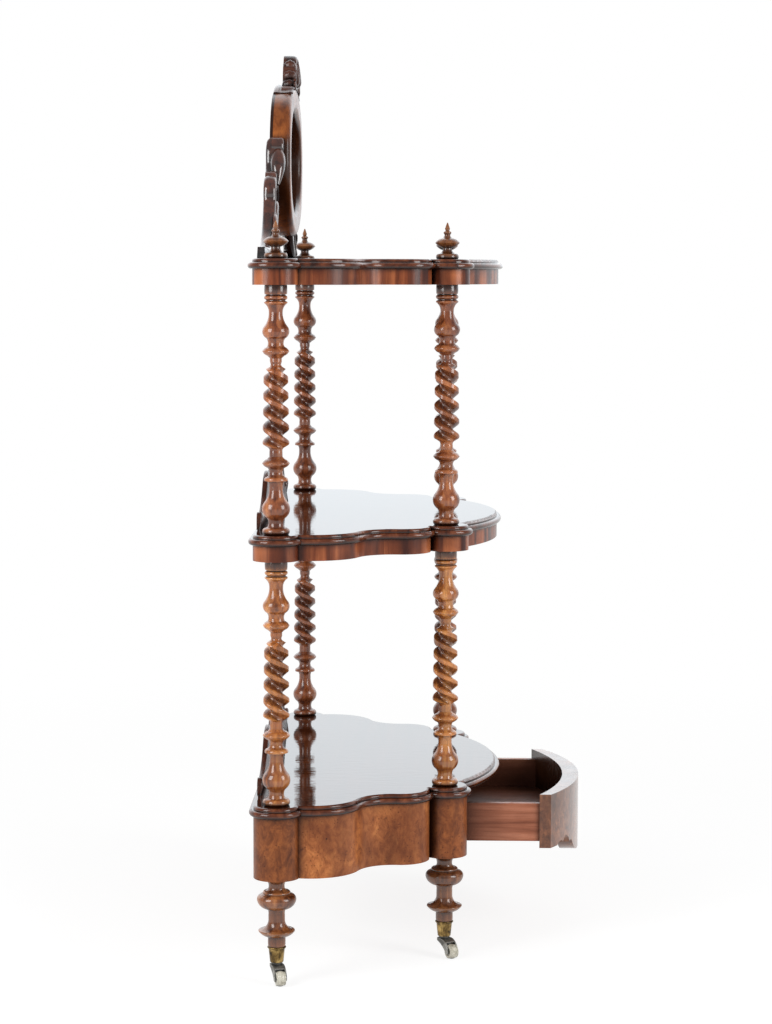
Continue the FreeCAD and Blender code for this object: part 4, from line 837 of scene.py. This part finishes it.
crest_front = CREST_LOW.y + RELIEF_INSET
crest_middle = (CREST_LOW.y + CREST_HIGH.y) / 2
shell = bmesh.new()
add_saddle(shell, BAND_HALF_WIDTH, ARC_RADIUS, ARC_LEVEL, FRAME_LOW.y + BAND_INSET, FRAME_HIGH.y - BAND_INSET)
for step in FAN_STEPS:
    foot = (FAN_SHIFT * step, TOP + FAN_FOOT)
    length = FAN_LENGTH - FAN_SHORTER * abs(step)
    add_petal(shell, foot, radians(FAN_TURN * step), length, FAN_WIDTH, FAN_RELIEF, crest_front)
for hand in (-1, 1):
    add_volute(shell, (hand * VOLUTE_X, TOP + VOLUTE_Z), crest_front, VOLUTE_RADIUS, hand, pi / 2)
    for x, height, depth, lean in LOBES:
        place = (hand * x, crest_middle, TOP + height)
        add_lobe(shell, place, (LOBE_WIDTH, depth, LOBE_HEIGHT), hand * lean)
add_relief("crest_shell", shell, carved)

# A bracket's two rolls: place, height, radius, how far proud of its front and how far short of its back
ROLLS = ((0.181, 0.184, 0.0155, 0.009, 0.01), (0.219, 0.126, 0.0165, 0, 0.002))
# The swelling between the rolls: place, height and radius
WAIST = ((0.187, 0.18, 0.005), (0.19, 0.1755, 0.0085), (0.196, 0.166, 0.0115), (0.202, 0.156, 0.0125))
WAIST += ((0.207, 0.146, 0.0115), (0.212, 0.136, 0.009), (0.2165, 0.127, 0.0062), (0.22, 0.12, 0.0035))
# The leaves along a bracket's sweep: turn in degrees, place and height of the first, and steps to the next
LEAF_COUNT = 3
LEAF_TURN, LEAF_TURN_STEP = 132, 4
LEAF_X, LEAF_X_STEP = 0.232, 0.028
LEAF_Z, LEAF_Z_STEP = 0.094, 0.022
LEAF_LENGTH = 0.04
LEAF_WIDTH = 0.0065
LEAF_RELIEF = 0.006

for side, hand in (("left", -1), ("right", 1)):
    scrolls = bmesh.new()
    for x, height, radius, proud, short in ROLLS:
        add_boss(scrolls, (hand * x, TOP + height), radius, BRACKET_LOW.y - proud, BRACKET_HIGH.y - short)
    path = [(hand * x, BRACKET_LOW.y, TOP + height) for x, height, _ in WAIST]
    add_strand(scrolls, path, [radius for _, _, radius in WAIST], sides=18)
    for step in range(LEAF_COUNT):
        turn = hand * radians(LEAF_TURN - LEAF_TURN_STEP * step)
        foot = (hand * (LEAF_X + LEAF_X_STEP * step), TOP + LEAF_Z - LEAF_Z_STEP * step)
        add_petal(scrolls, foot, turn, LEAF_LENGTH, LEAF_WIDTH, LEAF_RELIEF, BRACKET_LOW.y + RELIEF_INSET)
    add_relief(f"bracket_scrolls_{side}", scrolls, scroll)


# Floor, light and camera

WHITE = (1, 1, 1, 1)
# The floor: half its side, the distances over which it fades to white, and its levels of glow and of grey
FLOOR_HALF = 60
FADE_START = 0.7
FADE_END = 2.6
FLOOR_GLOW = 0.84
FLOOR_DIM = 0.24
FLOOR_PALE = 0.8
# The world: its light, and in reflections a dim room, a backdrop brighter higher up, and its cool tint
WORLD_LIGHT = 0.42
ROOM_LIGHT = 0.35
BACKDROP_LOW = 1.4
BACKDROP_HIGH = 1.95
BACKDROP_TINT = (0.95, 1, 1.04, 1)
# How far up and how far ahead a ray points where the backdrop starts to brighten, and where it is full
UP, UP_START, UP_FULL = (0, 0, 1), 0.08, 0.21
AHEAD, AHEAD_START, AHEAD_FULL = (1, 0, 0), 0.2, 0.75
# The two softboxes: place, size and power in watts, and the point that both light
SOFTBOXES = {"softbox_left": (-1.9, 2.1, 1.7), "softbox_right": (-1.6, -2.5, 1.7)}
SOFTBOX_WIDTH = 1.3
SOFTBOX_HEIGHT = 1.9
SOFTBOX_POWER = 50
LIT_POINT = (0, 0, 0.8)
# The photograph's camera, found by laying the solids over it: focal length in pixels, place and angles
IMAGE_HEIGHT = 1024
FOCAL_PIXELS = 2550
SENSOR_WIDTH = 36
CAMERA_PLACE = (-4.408, -0.0359, 1.1374)
CAMERA_YAW = radians(1.308)
CAMERA_PITCH = radians(5.422)
CAMERA_ROLL = radians(0.148)


def floor_material():
    """A white floor: bright to the camera and in reflections, and it still takes the piece's shadow."""
    paint = Paint("studio_floor")
    paint.tree.nodes.remove(paint.shader)

    def glowing(strength):
        made = paint.add("ShaderNodeEmission")
        made.inputs["Color"].default_value = WHITE
        made.inputs["Strength"].default_value = strength
        return made.outputs[0]

    def diffuse(level):
        made = paint.add("ShaderNodeBsdfDiffuse")
        made.inputs["Color"].default_value = (level, level, level, 1)
        return made.outputs[0]

    def blend(factor, first, second):
        made = paint.add("ShaderNodeMixShader")
        for socket, value in zip(made.inputs, (factor, first, second)):
            paint.feed(socket, value)
        return made.outputs[0]

    away = paint.add("ShaderNodeVectorMath", operation="LENGTH")
    paint.feed(away.inputs[0], paint.here)
    fade = paint.span(away.outputs["Value"], FADE_START, FADE_END)
    near = paint.add("ShaderNodeAddShader")
    paint.feed(near.inputs[0], glowing(FLOOR_GLOW))
    paint.feed(near.inputs[1], diffuse(FLOOR_DIM))
    lit = blend(fade, near.outputs[0], glowing(1))
    path = paint.add("ShaderNodeLightPath")
    seen = paint.math("MAXIMUM", path.outputs["Is Camera Ray"], path.outputs["Is Glossy Ray"])
    seen = paint.math("MAXIMUM", seen, path.outputs["Is Transmission Ray"])
    output = paint.tree.nodes["Material Output"]
    paint.feed(output.inputs["Surface"], blend(seen, diffuse(FLOOR_PALE), lit))
    return paint.material


def add_floor():
    mesh = bpy.data.meshes.new("studio_floor")
    half = FLOOR_HALF
    corners = [(-half, -half, 0), (half, -half, 0), (half, half, 0), (-half, half, 0)]
    mesh.from_pydata(corners, [], [(0, 1, 2, 3)])
    floor = bpy.data.objects.new("studio_floor", mesh)
    bpy.context.scene.collection.objects.link(floor)
    mesh.materials.append(floor_material())


def light_world():
    """White to the camera; in reflections a backdrop that is brighter higher up, and a dim room elsewhere."""
    world = bpy.data.worlds.new("studio")
    world.use_nodes = True
    tree = world.node_tree

    def lean(ray, axis):
        made = tree.nodes.new("ShaderNodeVectorMath")
        made.operation = "DOT_PRODUCT"
        tree.links.new(ray, made.inputs[0])
        made.inputs[1].default_value = axis
        return made.outputs["Value"]

    def span(value, *limits):
        made = tree.nodes.new("ShaderNodeMapRange")
        made.interpolation_type = "SMOOTHSTEP"
        for key, limit in zip(("Value", "From Min", "From Max", "To Min", "To Max"), (value, *limits)):
            if isinstance(limit, bpy.types.NodeSocket):
                tree.links.new(limit, made.inputs[key])
            else:
                made.inputs[key].default_value = limit
        return made.outputs["Result"]

    path = tree.nodes.new("ShaderNodeLightPath")
    seen = tree.nodes.new("ShaderNodeMath")
    seen.operation = "MAXIMUM"
    tree.links.new(path.outputs["Is Camera Ray"], seen.inputs[0])
    tree.links.new(path.outputs["Is Transmission Ray"], seen.inputs[1])
    plain = tree.nodes["Background"]
    plain.inputs["Color"].default_value = WHITE
    tree.links.new(span(seen.outputs[0], 0, 1, WORLD_LIGHT, 1), plain.inputs["Strength"])
    ray = tree.nodes.new("ShaderNodeTexCoord").outputs["Generated"]
    backdrop = span(lean(ray, UP), UP_START, UP_FULL, BACKDROP_LOW, BACKDROP_HIGH)
    mirrored = tree.nodes.new("ShaderNodeBackground")
    mirrored.inputs["Color"].default_value = BACKDROP_TINT
    reflected = span(lean(ray, AHEAD), AHEAD_START, AHEAD_FULL, ROOM_LIGHT, backdrop)
    tree.links.new(reflected, mirrored.inputs["Strength"])
    choice = tree.nodes.new("ShaderNodeMixShader")
    tree.links.new(path.outputs["Is Glossy Ray"], choice.inputs[0])
    tree.links.new(plain.outputs[0], choice.inputs[1])
    tree.links.new(mirrored.outputs[0], choice.inputs[2])
    tree.links.new(choice.outputs[0], tree.nodes["World Output"].inputs["Surface"])
    bpy.context.scene.world = world


def add_softbox(name, place):
    lamp = bpy.data.lights.new(name, "AREA")
    lamp.shape = "RECTANGLE"
    lamp.size = SOFTBOX_WIDTH
    lamp.size_y = SOFTBOX_HEIGHT
    lamp.energy = SOFTBOX_POWER
    box = bpy.data.objects.new(name, lamp)
    bpy.context.scene.collection.objects.link(box)
    box.location = place
    box.rotation_euler = (Vector(LIT_POINT) - Vector(place)).to_track_quat("-Z", "Y").to_euler()


def add_camera():
    data = bpy.data.cameras.new("camera")
    data.sensor_fit = "AUTO"
    data.sensor_width = SENSOR_WIDTH
    data.lens = FOCAL_PIXELS / IMAGE_HEIGHT * SENSOR_WIDTH
    level = cos(CAMERA_PITCH)
    ahead = Vector((level * cos(CAMERA_YAW), level * sin(CAMERA_YAW), -sin(CAMERA_PITCH)))
    right = Vector((sin(CAMERA_YAW), -cos(CAMERA_YAW), 0))
    up = right.cross(ahead)
    tilted_right = right * cos(CAMERA_ROLL) + up * sin(CAMERA_ROLL)
    tilted_up = up * cos(CAMERA_ROLL) - right * sin(CAMERA_ROLL)
    turn = Matrix((tilted_right, tilted_up, -ahead)).transposed()
    camera = bpy.data.objects.new("camera", data)
    bpy.context.scene.collection.objects.link(camera)
    camera.matrix_world = Matrix.Translation(CAMERA_PLACE) @ turn.to_4x4()
    bpy.context.scene.camera = camera


add_floor()
light_world()
for name, place in SOFTBOXES.items():
    add_softbox(name, place)
add_camera()
bpy.context.scene.view_settings.view_transform = "Standard"
